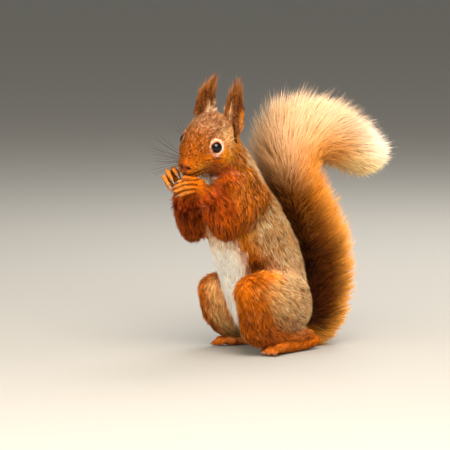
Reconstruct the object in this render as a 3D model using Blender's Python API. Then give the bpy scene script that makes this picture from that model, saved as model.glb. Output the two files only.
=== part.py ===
"""Red squirrel sitting up on its haunches, hands held to its mouth and tail over its back.

Blender 4.5 script, metres, +Z up. The animal looks along -Y and its left side is +X.
The origin is on the floor under the rump. Each solid reaches out to the tips of the coat.
The flesh is modelled as lofts that are fused and smoothed, then parted with thin cuts.
"""

import math

import bmesh
import bpy
import numpy as np
from mathutils import Matrix, Vector

# ---------------------------------------------------------------- driving dimensions, millimetres
MM = 0.001
GAP = 0.3  # clearance left by every cut between two pieces

# The skeleton, with the animal's left as +X.
ANKLE = (22, 3, 10)
HEEL = (20, 9, 6)
TOE_BASE = (28, -27, 4.5)
SHOULDER = (18, -42, 102)
ELBOW_LEFT = (27, -68, 90)
WRIST_LEFT = (20, -81, 114)
ELBOW_RIGHT = (-19, -63, 84)
WRIST_RIGHT = (-8.5, -80, 110)

# The head is turned to its left, bowed and leaned over; its own axes are left, ahead and up.
HEAD_CENTRE = (8.2, -75.2, 144.5)  # midway between the eyes
HEAD_TURN = 21.0
HEAD_BOW = 30.0
HEAD_LEAN = 12.0
EYE_SIDE, EYE_AHEAD, EYE_UP = 11.0, 0.0, -1.95
EYE_RADIUS = 4.5

CUTTER = 400.0  # edge of the cube whose face makes a plane cut

# ---------------------------------------------------------------- small tools


def vec(point):
    return Vector(point)


def head_axes():
    """Left, ahead and up of the head, from its turn, bow and lean."""
    turn, bow, lean = (math.radians(a) for a in (HEAD_TURN, HEAD_BOW, HEAD_LEAN))
    left = Vector((math.cos(turn), math.sin(turn), 0))
    ahead = Vector((math.sin(turn) * math.cos(bow), -math.cos(turn) * math.cos(bow), -math.sin(bow)))
    up = ahead.cross(left)
    return left * math.cos(lean) - up * math.sin(lean), ahead, up * math.cos(lean) + left * math.sin(lean)


LEFT, AHEAD, UP = head_axes()


def on_head(side, ahead, up):
    return vec(HEAD_CENTRE) + LEFT * side + AHEAD * ahead + UP * up


def smooth_path(values, steps):
    """Catmull-Rom curve through rows of numbers, with this many steps between two rows."""
    rows = np.array(values, float)
    rows = np.vstack([2 * rows[0] - rows[1], rows, 2 * rows[-1] - rows[-2]])
    share = np.arange(steps)[:, None] / steps
    spans = []
    for i in range(1, len(rows) - 2):
        a, b, c, d = rows[i - 1 : i + 3]
        spans.append(
            0.5 * (2 * b + (c - a) * share + (2 * a - 5 * b + 4 * c - d) * share**2
                   + (3 * b - a - 3 * c + d) * share**3)
        )
    return np.vstack([*spans, rows[-2:-1]])


def mesh_object(name, points, faces):
    mesh = bpy.data.meshes.new(name)
    mesh.from_pydata([tuple(p) for p in np.asarray(points) * MM], [], faces)
    mesh.validate()
    obj = bpy.data.objects.new(name, mesh)
    bpy.context.scene.collection.objects.link(obj)
    return obj


def loft(stations, side=(1, 0, 0), sides=28, steps=5, cup=0.0):
    """A closed tube. Each station is (x, y, z, half width along side, half depth across it).

    cup bends every ring, so that a leaf such as an ear is hollow on one face.
    """
    rows = smooth_path([list(s) for s in stations], steps)
    centres, width, depth = rows[:, :3], np.abs(rows[:, 3]), np.abs(rows[:, 4])
    tangent = np.gradient(centres, axis=0)
    tangent /= np.linalg.norm(tangent, axis=1)[:, None]
    across = np.array(side, float) - tangent * (tangent @ np.array(side, float))[:, None]
    across /= np.linalg.norm(across, axis=1)[:, None]
    through = np.cross(tangent, across)
    # Both ends are rounded off with rings that shrink along a quarter circle.
    turns = np.radians([75, 50, 25])
    rings = []
    for end, angles in ((0, turns), (-1, turns[::-1])):
        reach = min(width[end], depth[end])
        sign = -1 if end == 0 else 1
        rings.append([
            (centres[end] + sign * tangent[end] * reach * math.sin(a), end, math.cos(a)) for a in angles
        ])
    body = [(centres[i], i, 1.0) for i in range(len(centres))]
    around = np.arange(sides) * 2 * math.pi / sides
    points = []
    for centre, i, scale in rings[0] + body + rings[1]:
        x = np.cos(around)[:, None] * width[i] * scale
        y = np.sin(around)[:, None] * depth[i] * scale + cup * (np.cos(around)[:, None] * scale) ** 2
        points.append(centre + across[i] * x + through[i] * y)
    count = len(points)
    points = np.vstack(points)
    faces = [tuple(range(sides))[::-1], tuple(range((count - 1) * sides, count * sides))]
    for ring in range(count - 1):
        for k in range(sides):
            a, b = ring * sides + k, ring * sides + (k + 1) % sides
            faces.append((a, b, b + sides, a + sides))
    obj = mesh_object("loft", points, faces)
    outward(obj)
    return obj


def ball(centre, radii, axes=None):
    """An ellipsoid; axes are its own left, ahead and up, or the world's."""
    mesh = bpy.data.meshes.new("ball")
    body = bmesh.new()
    bmesh.ops.create_icosphere(body, subdivisions=4, radius=1.0)
    turn = Matrix(axes).transposed() if axes else Matrix.Identity(3)
    for vert in body.verts:
        grown = Vector([v * r for v, r in zip(vert.co, radii)])
        vert.co = (turn @ grown + vec(centre)) * MM
    body.to_mesh(mesh)
    body.free()
    obj = bpy.data.objects.new("ball", mesh)
    bpy.context.scene.collection.objects.link(obj)
    return obj


def head_ball(side, ahead, up, radii):
    return ball(on_head(side, ahead, up), radii, (LEFT, AHEAD, UP))


def rod(start, end, first, last=None):
    """A tapered rod with round ends."""
    last = first if last is None else last
    way = (vec(end) - vec(start)).normalized()
    side = (0, 0, 1) if abs(way.z) < 0.8 else (1, 0, 0)
    return loft([(*start, first, first), (*end, last, last)], side=side, sides=16, steps=3)


def outward(obj):
    body = bmesh.new()
    body.from_mesh(obj.data)
    bmesh.ops.recalc_face_normals(body, faces=body.faces)
    body.to_mesh(obj.data)
    body.free()


def freeze(obj):
    """Replaces an object's mesh by what its modifiers make of it."""
    graph = bpy.context.evaluated_depsgraph_get()
    mesh = bpy.data.meshes.new_from_object(obj.evaluated_get(graph))
    obj.modifiers.clear()
    obj.data = mesh
    return obj


def join(pieces):
    """One object that holds every piece's faces."""
    body = bmesh.new()
    for piece in pieces:
        body.from_mesh(piece.data)
        bpy.data.objects.remove(piece)
    mesh = bpy.data.meshes.new("joined")
    body.to_mesh(mesh)
    body.free()
    obj = bpy.data.objects.new("joined", mesh)
    bpy.context.scene.collection.objects.link(obj)
    return obj


def fuse(name, pieces, voxel, rounds, triangles):
    """Fuses overlapping pieces to one skin, smooths its creases and thins it to so many triangles."""
    obj = join(pieces)
    obj.name = name
    remesh = obj.modifiers.new("fuse", "REMESH")
    remesh.mode = "VOXEL"
    remesh.voxel_size = voxel * MM
    smooth = obj.modifiers.new("smooth", "SMOOTH")
    smooth.factor = 0.5
    smooth.iterations = rounds
    freeze(obj)
    keep_largest(obj)
    thin = obj.modifiers.new("thin", "DECIMATE")
    thin.ratio = min(1.0, triangles / (2 * len(obj.data.polygons)))
    freeze(obj)
    return obj


def keep_largest(obj):
    """Drops every loose shell but the largest, such as the inner wall of a bubble."""
    body = bmesh.new()
    body.from_mesh(obj.data)
    left, shells = set(body.verts), []
    while left:
        shell, todo = set(), [next(iter(left))]
        while todo:
            vert = todo.pop()
            if vert in shell:
                continue
            shell.add(vert)
            todo.extend(edge.other_vert(vert) for edge in vert.link_edges)
        shells.append(shell)
        left -= shell
    shells.sort(key=len)
    for shell in shells[:-1]:
        bmesh.ops.delete(body, geom=list(shell), context="VERTS")
    body.to_mesh(obj.data)
    body.free()


def copy_of(obj):
    twin = obj.copy()
    twin.data = obj.data.copy()
    bpy.context.scene.collection.objects.link(twin)
    return twin


def boolean(obj, other, operation):
    cut = obj.modifiers.new("cut", "BOOLEAN")
    cut.operation = operation
    cut.solver = "EXACT"
    cut.object = other
    return freeze(obj)


def clear_of(obj, neighbour):
    """Takes out of obj the space of its neighbour, with the gap that touching pieces keep."""
    grown = copy_of(neighbour)
    swell = grown.modifiers.new("swell", "DISPLACE")
    swell.strength = GAP * MM
    swell.mid_level = 0.0
    freeze(grown)
    boolean(obj, grown, "DIFFERENCE")
    bpy.data.objects.remove(grown)
    keep_largest(obj)
    return obj


def block(point, normal):
    """A large cube whose one face is the plane through point, lying on the side that normal points to."""
    mesh = bpy.data.meshes.new("block")
    body = bmesh.new()
    bmesh.ops.create_cube(body, size=CUTTER * MM)
    turn = vec(normal).to_track_quat("Z", "Y").to_matrix().to_4x4()
    move = Matrix.Translation(vec(point) * MM) @ turn @ Matrix.Translation((0, 0, CUTTER * MM / 2))
    body.transform(move)
    body.to_mesh(mesh)
    body.free()
    obj = bpy.data.objects.new("block", mesh)
    bpy.context.scene.collection.objects.link(obj)
    return obj


def trimmed(obj, point, normal):
    """Removes all that lies on the side of the plane that normal points to."""
    cutter = block(point, normal)
    boolean(obj, cutter, "DIFFERENCE")
    bpy.data.objects.remove(cutter)
    keep_largest(obj)
    return obj


def part_at(obj, point, normal, name):
    """Parts obj with a thin cut. What lies on the normal's side becomes a new object of this name."""
    way = vec(normal).normalized()
    beyond = copy_of(obj)
    beyond.name = name
    trimmed(beyond, vec(point) + way * GAP / 2, -way)
    trimmed(obj, vec(point) - way * GAP / 2, way)
    return beyond


def finished(obj, name, colour, roughness):
    obj.name = name
    obj.data.name = name
    material = bpy.data.materials.new(name)
    material.use_nodes = True
    shader = material.node_tree.nodes["Principled BSDF"]
    shader.inputs["Base Color"].default_value = (*colour, 1)
    shader.inputs["Roughness"].default_value = roughness
    shader.inputs["Metallic"].default_value = 0.0
    obj.data.materials.clear()
    obj.data.materials.append(material)
    obj.data.shade_flat()
    return obj


# ---------------------------------------------------------------- colours, linear
RUFOUS = (0.45, 0.14, 0.03)
RUSSET = (0.36, 0.13, 0.04)
GREY_BROWN = (0.42, 0.26, 0.14)
HAND_ORANGE = (0.52, 0.17, 0.04)
TAIL_BROWN = (0.26, 0.09, 0.02)
TAIL_BLOND = (0.85, 0.62, 0.34)
EYE_BLACK = (0.01, 0.008, 0.006)
NOSE_BROWN = (0.22, 0.09, 0.05)

# ---------------------------------------------------------------- trunk, neck and head


def trunk_forms():
    """Rump, belly, chest and neck as one leaning pear, then the blades of the shoulders."""
    pear = loft([
        (0, -8, 14, 22, 20),
        (0, -12, 27, 27.5, 28),
        (0, -17, 43, 29.5, 30),
        (0, -22, 60, 30, 30.5),
        (0, -29, 76, 28.5, 29.5),
        (0, -37, 93, 25.5, 27),
        (0, -42.5, 108, 21.5, 22.5),
        (0.5, -48, 123, 18.5, 19),
        (2, -55, 137, 15, 16),
    ], sides=36)
    return [pear]


def head_forms():
    """The skull from the nape to the nose, with jaw, cheeks, brows and whisker pads."""
    stations = [
        (-28, -4, 9, 8), (-24, -3.5, 13.5, 12), (-16, -3.5, 16, 14.3), (-7, -4.5, 16.2, 16.3),
        (2, -6, 14.2, 15.8), (8.5, -7.4, 11.8, 14), (13.5, -8.6, 9.8, 11.4), (17.5, -8.6, 7.6, 8.6),
    ]
    skull = loft([(*on_head(0, f, c), w, h) for f, c, w, h in stations], side=LEFT, sides=36)
    forms = [skull, head_ball(2, -6, -18, (14.5, 13, 9)), head_ball(0, 18.2, -6.2, (4.8, 4.2, 4.6))]
    for side in (1, -1):
        forms += [
            head_ball(side * 9.5, -4, -10.5, (8.4, 12, 9.5)),
            head_ball(side * 6.5, -8, -18.5, (12.5, 13, 11.5)),
            head_ball(side * 7.4, 0, 5.0, (4.8, 8, 5.0)),
            head_ball(side * 4.0, 14.4, -8.6, (5.0, 5.6, 5.2)),
        ]
    return forms


def make_core():
    """Trunk, neck and head fused, planed at the floor and parted at the neck."""
    body = fuse("trunk", trunk_forms() + head_forms(), 1.3, 6, 1850)
    trimmed(body, (0, 0, 0), (0, 0, -1))
    return body


# ---------------------------------------------------------------- arms and hands
FINGER = 1.45  # radius at the knuckle, fur and all
LEFT_FINGERS = (  # knuckle, bend, tip
    ((18.0, -86.5, 121.0), (14.2, -92.6, 121.4), (10.8, -94.6, 118.8)),
    ((18.8, -86.2, 118.4), (15.0, -93.6, 118.4), (10.8, -96.8, 115.6)),
    ((18.8, -85.8, 115.8), (15.2, -93.2, 115.2), (10.8, -97.0, 112.6)),
    ((18.2, -85.2, 113.4), (14.6, -90.6, 111.8), (11.0, -93.6, 109.8)),
)
RIGHT_FINGERS = (
    ((-4.4, -86, 123.2), (0.4, -91.6, 126.6), (4.4, -91.4, 122.6)),
    ((-6, -88.5, 121.2), (-0.6, -95.8, 124.8), (4.2, -95.6, 119.6)),
    ((-6.8, -89, 118), (-1.2, -98, 121), (4, -98, 116.4)),
    ((-6.8, -88, 114.8), (-1.4, -95.2, 116.6), (3.4, -95.6, 112.6)),
)


def arm_forms(side, elbow, wrist, fingers, bulk):
    """Upper arm, forearm, palm and four bent fingers with their claws; bulk scales the forearm's coat."""
    shoulder = vec((side * SHOULDER[0], SHOULDER[1], SHOULDER[2]))
    elbow, wrist = vec(elbow), vec(wrist)
    upper = loft([
        (*(shoulder + vec((-side * 3, 4, 3))), 13.5, 12.5),
        (*shoulder.lerp(elbow, 0.35), 13.2, 12),
        (*shoulder.lerp(elbow, 0.7), 12.2, 10.5),
        (*elbow, 9.5, 9),
    ], side=(0, 0.3, 1))
    fore = loft([
        (*elbow, 10.5 * bulk, 10.5 * bulk),
        (*elbow.lerp(wrist, 0.3), 11 * bulk, 11 * bulk),
        (*elbow.lerp(wrist, 0.62), 9.8 * bulk, 9.6 * bulk),
        (*elbow.lerp(wrist, 0.86), 7.4, 7.2),
        (*wrist, 5.0, 4.8),
    ])
    crease = (shoulder.lerp(elbow, 0.6) + elbow.lerp(wrist, 0.4)) / 2
    forms = [upper, fore, ball(crease, (9.5 * bulk, 10.5 * bulk, 10.5 * bulk))]
    knuckles = [vec(f[0]) for f in fingers]
    for knuckle, bend, tip in fingers:
        forms.append(rod(wrist.lerp(vec(knuckle), 0.25), knuckle, 2.9, 2.3))
        forms.append(rod(knuckle, bend, FINGER + 0.25, FINGER))
        forms.append(rod(bend, tip, FINGER, FINGER - 0.45))
    middle = sum(knuckles, Vector()) / len(knuckles)
    forms.append(ball(wrist.lerp(middle, 0.5), (4.2, 4.6, 5.4)))
    return forms


def make_arm(side, word, elbow, wrist, fingers, bulk):
    """One arm, parted at elbow and wrist; returns its three solids."""
    elbow, wrist = vec(elbow), vec(wrist)
    arm = fuse("arm", arm_forms(side, elbow, wrist, fingers, bulk), 0.6, 3, 880)
    fore_way = (wrist - elbow).normalized()
    upper_way = (elbow - vec((side * SHOULDER[0], SHOULDER[1], SHOULDER[2]))).normalized()
    hand = part_at(arm, wrist + fore_way * 0.5, fore_way, "hand_" + word)
    fore = part_at(arm, elbow - fore_way * 0.5, fore_way + upper_way * 0.9, "forearm_" + word)
    arm.name = "upper_arm_" + word
    return arm, fore, hand


# ---------------------------------------------------------------- legs and feet


def leg_forms(side, ahead, lift):
    """Thigh, shank, long foot and five toes of one folded leg; ahead and lift move its knee."""

    def place(x, y, z, share=0.0, raised=0.0):
        return (side * x, y - ahead * share, z + lift * raised)

    thigh = loft([
        (*place(15, -5, 27), 14.5, 17),
        (*place(20, -12, 29, 0, 0.3), 16, 23),
        (*place(23.5, -23, 32, 0.4, 0.8), 15.5, 25),
        (*place(26, -33, 36.5, 0.9, 0.9), 13.5, 19.5),
        (*place(26.5, -39.5, 39.5, 1.0, 1.0), 11.5, 14),
    ], steps=5)
    shank = loft([
        (*place(26.5, -39, 40, 1.0, 1.0), 12, 14),
        (*place(26.8, -36, 27, 1.05), 12.5, 13.5),
        (*place(26.3, -29.5, 17, 1.7), 11.5, 11.5),
        (*place(24.5, -18, 12, 0.9), 9, 9),
        (*place(22.5, -4, 10.5), 7.5, 7.5),
        (*place(*ANKLE), 6.5, 6.5),
    ])
    heel, base = vec(place(*HEEL)), vec(place(*TOE_BASE))
    foot = loft([
        (*heel, 5.2, 5.0),
        (*heel.lerp(base, 0.5), 5.4, 5.6),
        (*base, 6.2, 4.4),
    ])
    forms = [thigh, shank, foot]
    for number in (-2, -1, 0, 1, 2):
        spread = math.radians(side * (number * 7.0 + 10))
        way = vec((math.sin(spread), -math.cos(spread), 0))
        root = base + vec((number * 2.4, 0.5 * abs(number), -0.6))
        length = 11.5 - 1.3 * abs(number)
        knuckle = root + way * length * 0.6 + vec((0, 0, 0.6))
        forms.append(rod(root, knuckle, 2.2, 1.9))
        forms.append(rod(knuckle, root + way * length + vec((0, 0, -1.6)), 1.9, 1.4))
    return forms


def make_leg(side, word, ahead, lift):
    leg = fuse("leg", leg_forms(side, ahead, lift), 0.8, 4, 680)
    trimmed(leg, (0, 0, 0), (0, 0, -1))
    foot = part_at(leg, (0, 0, 9), (0, 0.1, -1), "foot_" + word)
    shank = part_at(leg, (side * 27, -58 - ahead, 31), (0, -0.42, -1), "shank_" + word)
    leg.name = "thigh_" + word
    return leg, shank, foot


# ---------------------------------------------------------------- tail
TAIL_ROWS = (  # y, z, half width, half depth of the plume, hair and all
    (12, 10, 12, 11.5),
    (25, 13, 19, 15),
    (31, 28, 26, 16),
    (31.5, 52, 31, 17.5),
    (27, 74, 33, 18),
    (16, 97, 33, 18),
    (4, 119, 31, 17.5),
    (-1, 138, 33, 20),
    (10, 153, 35, 22),
    (26, 151, 35, 22.5),
    (42, 143, 32, 21),
    (56, 134.5, 28, 19),
    (66, 127.5, 23, 17),
)


def make_tail():
    """The plume as one flattened loft, parted in four lengths."""
    tail = fuse("tail", [loft([(0, *row) for row in TAIL_ROWS], sides=36)], 1.6, 3, 700)
    trimmed(tail, (0, 0, 0), (0, 0, -1))
    curl = part_at(tail, (0, 6, 114), (0, -0.35, 1), "tail_curl")
    tip = part_at(curl, (0, 42, 145), (0, 1, -0.3), "tail_tip")
    middle = part_at(tail, (0, 35, 46), (0, 0, 1), "tail_middle")
    tail.name = "tail_base"
    return tail, middle, curl, tip


# ---------------------------------------------------------------- ears and eyes
EAR_ROWS = (  # height up the ear, half width, half thickness; the tuft starts at 26
    (-6, 4.6, 2.6),
    (0, 6.0, 2.8),
    (8, 7.2, 2.7),
    (15, 7.3, 2.6),
    (22, 6.3, 2.6),
    (27, 5.5, 2.6),
    (32, 4.6, 2.4),
    (36, 3.1, 1.9),
    (39.5, 1.4, 1.2),
)


def make_ear(side, word, apart, converge, outward):
    """A cupped leaf that narrows into its tuft of hair.

    apart is its root's distance from the midline, converge leans it inward, outward turns its opening.
    """
    axis = (UP * 0.85 - AHEAD * 0.45 - LEFT * side * converge).normalized()
    toward = AHEAD + LEFT * side * outward
    across = axis.cross(toward - axis * toward.dot(axis)).normalized()
    root = on_head(side * apart, -21, -7)
    ear = loft([(*(root + axis * up), w, d) for up, w, d in EAR_ROWS], side=across, cup=side * -2.4)
    return fuse("ear_" + word, [ear], 0.7, 2, 190)


def make_eye(side, word):
    eye = ball(on_head(side * EYE_SIDE, EYE_AHEAD, EYE_UP), (EYE_RADIUS,) * 3)
    thin = eye.modifiers.new("thin", "DECIMATE")
    thin.ratio = 0.08
    freeze(eye)
    eye.name = "eye_" + word
    return eye


# ---------------------------------------------------------------- assembly


def main():
    for obj in list(bpy.data.objects):
        bpy.data.objects.remove(obj)
    core = make_core()
    eyes = [make_eye(1, "left"), make_eye(-1, "right")]
    for eye in eyes:
        clear_of(core, eye)
    arms = [make_arm(1, "left", ELBOW_LEFT, WRIST_LEFT, LEFT_FINGERS, 1.0),
            make_arm(-1, "right", ELBOW_RIGHT, WRIST_RIGHT, RIGHT_FINGERS, 0.86)]
    legs = [make_leg(1, "left", 7, 4.5), make_leg(-1, "right", 0, 0)]
    tail = make_tail()
    ears = [make_ear(1, "left", 11.8, 0.06, 0.45), make_ear(-1, "right", 14.5, 0.13, 0.2)]
    for piece in (*arms[0], *arms[1], *legs[0], *legs[1], *tail[:3], *ears):
        clear_of(piece, core)
    for leg in legs:
        for piece in leg:
            clear_of(tail[0], piece)
    for (upper, fore, _), (thigh, *_) in zip(arms, legs):
        clear_of(upper, thigh)
        clear_of(fore, thigh)
    clear_of(arms[1][2], arms[0][2])
    head = part_at(core, on_head(0, -26, -10), AHEAD * 0.55 + UP * 0.85, "head")
    neck = part_at(core, (0, -43, 111), (0, -0.35, 1), "neck")
    finished(core, "trunk", GREY_BROWN, 0.8)
    finished(neck, "neck", RUFOUS, 0.8)
    finished(head, "head", RUSSET, 0.8)
    for (upper, fore, hand), word in zip(arms, ("left", "right")):
        finished(upper, "upper_arm_" + word, RUFOUS, 0.8)
        finished(fore, "forearm_" + word, RUFOUS, 0.8)
        finished(hand, "hand_" + word, HAND_ORANGE, 0.6)
    for (thigh, shank, foot), word in zip(legs, ("left", "right")):
        finished(thigh, "thigh_" + word, RUFOUS, 0.8)
        finished(shank, "shank_" + word, RUSSET, 0.8)
        finished(foot, "foot_" + word, HAND_ORANGE, 0.7)
    for piece, colour in zip(tail, (TAIL_BROWN, TAIL_BROWN, TAIL_BLOND, TAIL_BLOND)):
        finished(piece, piece.name, colour, 0.9)
    for ear, eye, word in zip(ears, eyes, ("left", "right")):
        finished(ear, "ear_" + word, RUSSET, 0.8)
        finished(eye, "eye_" + word, EYE_BLACK, 0.1)


main()
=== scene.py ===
"""Red squirrel sitting up on its haunches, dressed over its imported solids.

One skin covers the whole animal and a coat of small closed tufts lies over it. Lengths are in
millimetres until a mesh is made. The animal looks along -Y, its left side is +X and +Z is up.
"""

import math

import bpy
import numpy as np
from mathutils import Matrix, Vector
from mathutils.kdtree import KDTree


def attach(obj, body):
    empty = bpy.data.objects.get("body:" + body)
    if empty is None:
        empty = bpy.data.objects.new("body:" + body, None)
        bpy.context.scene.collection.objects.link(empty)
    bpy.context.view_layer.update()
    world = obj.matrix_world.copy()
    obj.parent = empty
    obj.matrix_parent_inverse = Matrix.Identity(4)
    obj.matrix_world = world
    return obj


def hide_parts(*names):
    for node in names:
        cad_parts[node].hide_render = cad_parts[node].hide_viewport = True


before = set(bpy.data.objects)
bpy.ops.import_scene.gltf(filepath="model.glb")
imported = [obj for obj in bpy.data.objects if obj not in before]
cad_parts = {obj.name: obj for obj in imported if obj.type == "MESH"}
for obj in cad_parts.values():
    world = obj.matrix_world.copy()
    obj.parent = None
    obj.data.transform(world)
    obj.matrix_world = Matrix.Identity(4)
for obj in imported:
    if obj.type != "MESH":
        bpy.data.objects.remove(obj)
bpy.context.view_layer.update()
MM = 0.001
CHANCE = np.random.default_rng(11)

# how fine the animal is made
VOXEL = 0.5  # millimetres between points of the fused skin
SOFTENING = 4  # rounds of smoothing over the fused skin
SKIN_TRIANGLES = 175000
COAT_SHARE = 0.7  # how many of the short coat's locks are made
HAIRS = 4  # hairs in a lock of the short coat
TUFT = 5  # locks of the short coat that draw together to one tuft
TAIL_LOCKS, TAIL_WISPS = ((3600, 3000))
TAIL_HAIRS = 8  # hairs in a lock of the tail, while a wisp is a single hair
EAR_HAIRS = 760
SKIN_LOWEST, HAIR_LOWEST = 0.15, 0.1  # millimetres over the floor
FAR = 99.0  # a distance beyond all that is measured

# ---------------------------------------------------------------- small tools


def vec(*numbers):
    """These numbers as an array."""
    return np.array(numbers, float)


def unit(vectors):
    """Each vector divided by its own length."""
    return vectors / np.maximum(np.linalg.norm(vectors, axis=-1, keepdims=True), 1e-9)


def dot(a, b):
    """The sum of a * b over each row, kept as a column."""
    return (a * b).sum(-1, keepdims=True)


def ramp(values, low, high):
    """0 below low, 1 above high and a smooth S between them."""
    share = np.clip((values - low) / (high - low), 0, 1)
    return share * share * (3 - 2 * share)


def bell(values, middle, size):
    """A soft hump, 1 at its middle: exp(-((value - middle) / size)^2)."""
    return np.exp(-(((values - middle) / size) ** 2))


def colour(hexadecimal):
    """A linear colour from an sRGB hex string: each channel c becomes ((c + 0.055) / 1.055) ** 2.4."""
    channels = np.array([int(hexadecimal[i : i + 2], 16) for i in (1, 3, 5)]) / 255
    return np.where(channels <= 0.04045, channels / 12.92, ((channels + 0.055) / 1.055) ** 2.4)


def pelt(hexadecimal):
    """Linear colour of hair: the hex colour c pushed apart from its own grey to c + 0.08 (c - mean).

    Light that wanders between hairs mutes them, and this makes up for it.
    """
    plain = colour(hexadecimal)
    return np.clip(plain + (plain - plain.mean()) * 0.08, 0.002, 0.95)


def mix(a, b, share):
    """a where share is 0 and b where it is 1; share is one number for each row."""
    share = np.asarray(share)
    if share.ndim == 1:
        share = share[:, None]
    return a + (b - a) * share


def between(first, second, share):
    """The colour of hair between two hex colours."""
    return mix(pelt(first), pelt(second), share)


def layered(base, layers):
    """base under layers of (hex colour, share), each laid over those before it."""
    for tone, share in layers:
        base = mix(base, pelt(tone), share)
    return base


WAVES = CHANCE.normal(size=(24, 3))  # directions of the waves that wander() takes eight of
WAVE_STARTS = CHANCE.uniform(0, 2 * math.pi, 24)


def wander(points, size, first=0):
    """Smooth noise from about -1 to 1 with features of this size.

    It is the sum of sin(2.2 (point . direction) / size + start) over eight waves, divided by 2.4.
    """
    chosen = slice(first, first + 8)
    phases = points @ WAVES[chosen].T * (2.2 / size) + WAVE_STARTS[chosen]
    return np.sin(phases).sum(-1) / 2.4


def smooth_path(rows, steps):
    """Catmull-Rom curve through rows of numbers, with this many steps between two rows."""
    rows = np.array(rows, float)
    rows = np.vstack([2 * rows[0] - rows[1], rows, 2 * rows[-1] - rows[-2]])
    share = np.arange(steps)[:, None] / steps
    spans = []
    for i in range(1, len(rows) - 2):
        a, b, c, d = rows[i - 1 : i + 3]
        spans.append(
            0.5 * (2 * b + (c - a) * share + (2 * a - 5 * b + 4 * c - d) * share**2
                   + (3 * b - a - 3 * c + d) * share**3)
        )
    return np.vstack([*spans, rows[-2:-1]])


def sleeve(rings, first, last):
    """Triangles of a closed sleeve over rings, an array (count, around, 3).

    first and last are the poles that close its ends, and the triangles are turned to face outwards.
    """
    count, around = rings.shape[:2]
    points = np.vstack([rings.reshape(-1, 3), first, last])
    i, k = np.meshgrid(np.arange(count - 1), np.arange(around), indexing="ij")
    a, b = i * around + k, i * around + (k + 1) % around
    sides = np.stack([a, b, b + around, a, b + around, a + around], -1).reshape(-1, 3)
    k = np.arange(around)
    j = (k + 1) % around
    start = np.stack([np.full(around, count * around), j, k], 1)
    low = (count - 1) * around
    end = np.stack([np.full(around, count * around + 1), low + k, low + j], 1)
    faces = np.vstack([sides, start, end])
    corner = points[faces]
    if (np.cross(corner[:, 0], corner[:, 1]) * corner[:, 2]).sum() < 0:
        faces = faces[:, ::-1]
    return points, faces


def tube(stations, side=(1, 0, 0), around=28, steps=5, cup=0.0):
    """A profile carried along a path. Each station is (x, y, z, half width along side, half depth across it).

    Ring points are centre + across * w cos t + through * (d sin t + cup cos^2 t), and both ends are round.
    """
    rows = smooth_path(stations, steps)
    centre, width, depth = rows[:, :3], np.abs(rows[:, 3]), np.abs(rows[:, 4])
    along = unit(np.gradient(centre, axis=0))
    across = unit(np.array(side, float) - along * dot(along, np.array(side, float)))
    through = np.cross(along, across)
    turns = np.radians([75, 50, 25])
    reach = np.minimum(width, depth)
    spots = [(centre[0] - along[0] * reach[0] * math.sin(t), 0, math.cos(t)) for t in turns]
    spots += [(centre[i], i, 1.0) for i in range(len(rows))]
    spots += [(centre[-1] + along[-1] * reach[-1] * math.sin(t), -1, math.cos(t)) for t in turns[::-1]]
    t = (np.arange(around) * 2 * math.pi / around)[:, None]
    rings = []
    for middle, i, s in spots:
        out = np.sin(t) * depth[i] * s + cup * (np.cos(t) * s) ** 2
        rings.append(middle + across[i] * np.cos(t) * width[i] * s + through[i] * out)
    rings = np.array(rings)
    return sleeve(rings, centre[0] - along[0] * reach[0], centre[-1] + along[-1] * reach[-1])


def ball(centre, radii, axes=np.eye(3), around=32, cut=None):
    """An ellipsoid on its own axes. cut is (direction, distance): what lies further out is pressed flat."""
    polar = np.linspace(0, math.pi, around // 2 + 1)[1:-1, None]
    turn = (np.arange(around) * 2 * math.pi / around)[None, :]
    upright = np.cos(polar) + 0 * turn
    shape = np.stack([np.sin(polar) * np.cos(turn), np.sin(polar) * np.sin(turn), upright], -1)
    rings = (shape * radii) @ np.asarray(axes)
    poles = (np.array([[0, 0, 1.0], [0, 0, -1.0]]) * radii) @ np.asarray(axes)
    if cut is not None:
        way, most = cut
        rings = rings - np.maximum(rings @ way - most, 0)[..., None] * way
        poles = poles - np.maximum(poles @ way - most, 0)[..., None] * way
    return sleeve(rings + centre, poles[0] + centre, poles[1] + centre)


def rod(start, end, first, last, around=14):
    """A round bar whose radius goes from first at its start to last at its end."""
    side = (0, 0, 1) if abs(unit(end - start)[2]) < 0.8 else (1, 0, 0)
    return tube([(*start, first, first), (*end, last, last)], side, around, steps=3)


def join(parts):
    """Several (points, faces) as one."""
    starts = np.cumsum([0] + [len(p) for p, _ in parts[:-1]])
    return np.vstack([p for p, _ in parts]), np.vstack([f + s for (_, f), s in zip(parts, starts)])


def mesh_object(name, points, faces, smooth=True):
    """A mesh object at the origin from whole arrays of points and triangles."""
    mesh = bpy.data.meshes.new(name)
    mesh.vertices.add(len(points))
    mesh.vertices.foreach_set("co", (points * MM).astype(np.float32).ravel())
    mesh.loops.add(faces.size)
    mesh.loops.foreach_set("vertex_index", faces.astype(np.int32).ravel())
    mesh.polygons.add(len(faces))
    mesh.polygons.foreach_set("loop_start", np.arange(0, faces.size, 3, dtype=np.int32))
    mesh.polygons.foreach_set("loop_total", np.full(len(faces), 3, np.int32))
    mesh.polygons.foreach_set("use_smooth", np.full(len(faces), smooth))
    mesh.update(calc_edges=True)
    obj = bpy.data.objects.new(name, mesh)
    bpy.context.scene.collection.objects.link(obj)
    return obj


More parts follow.
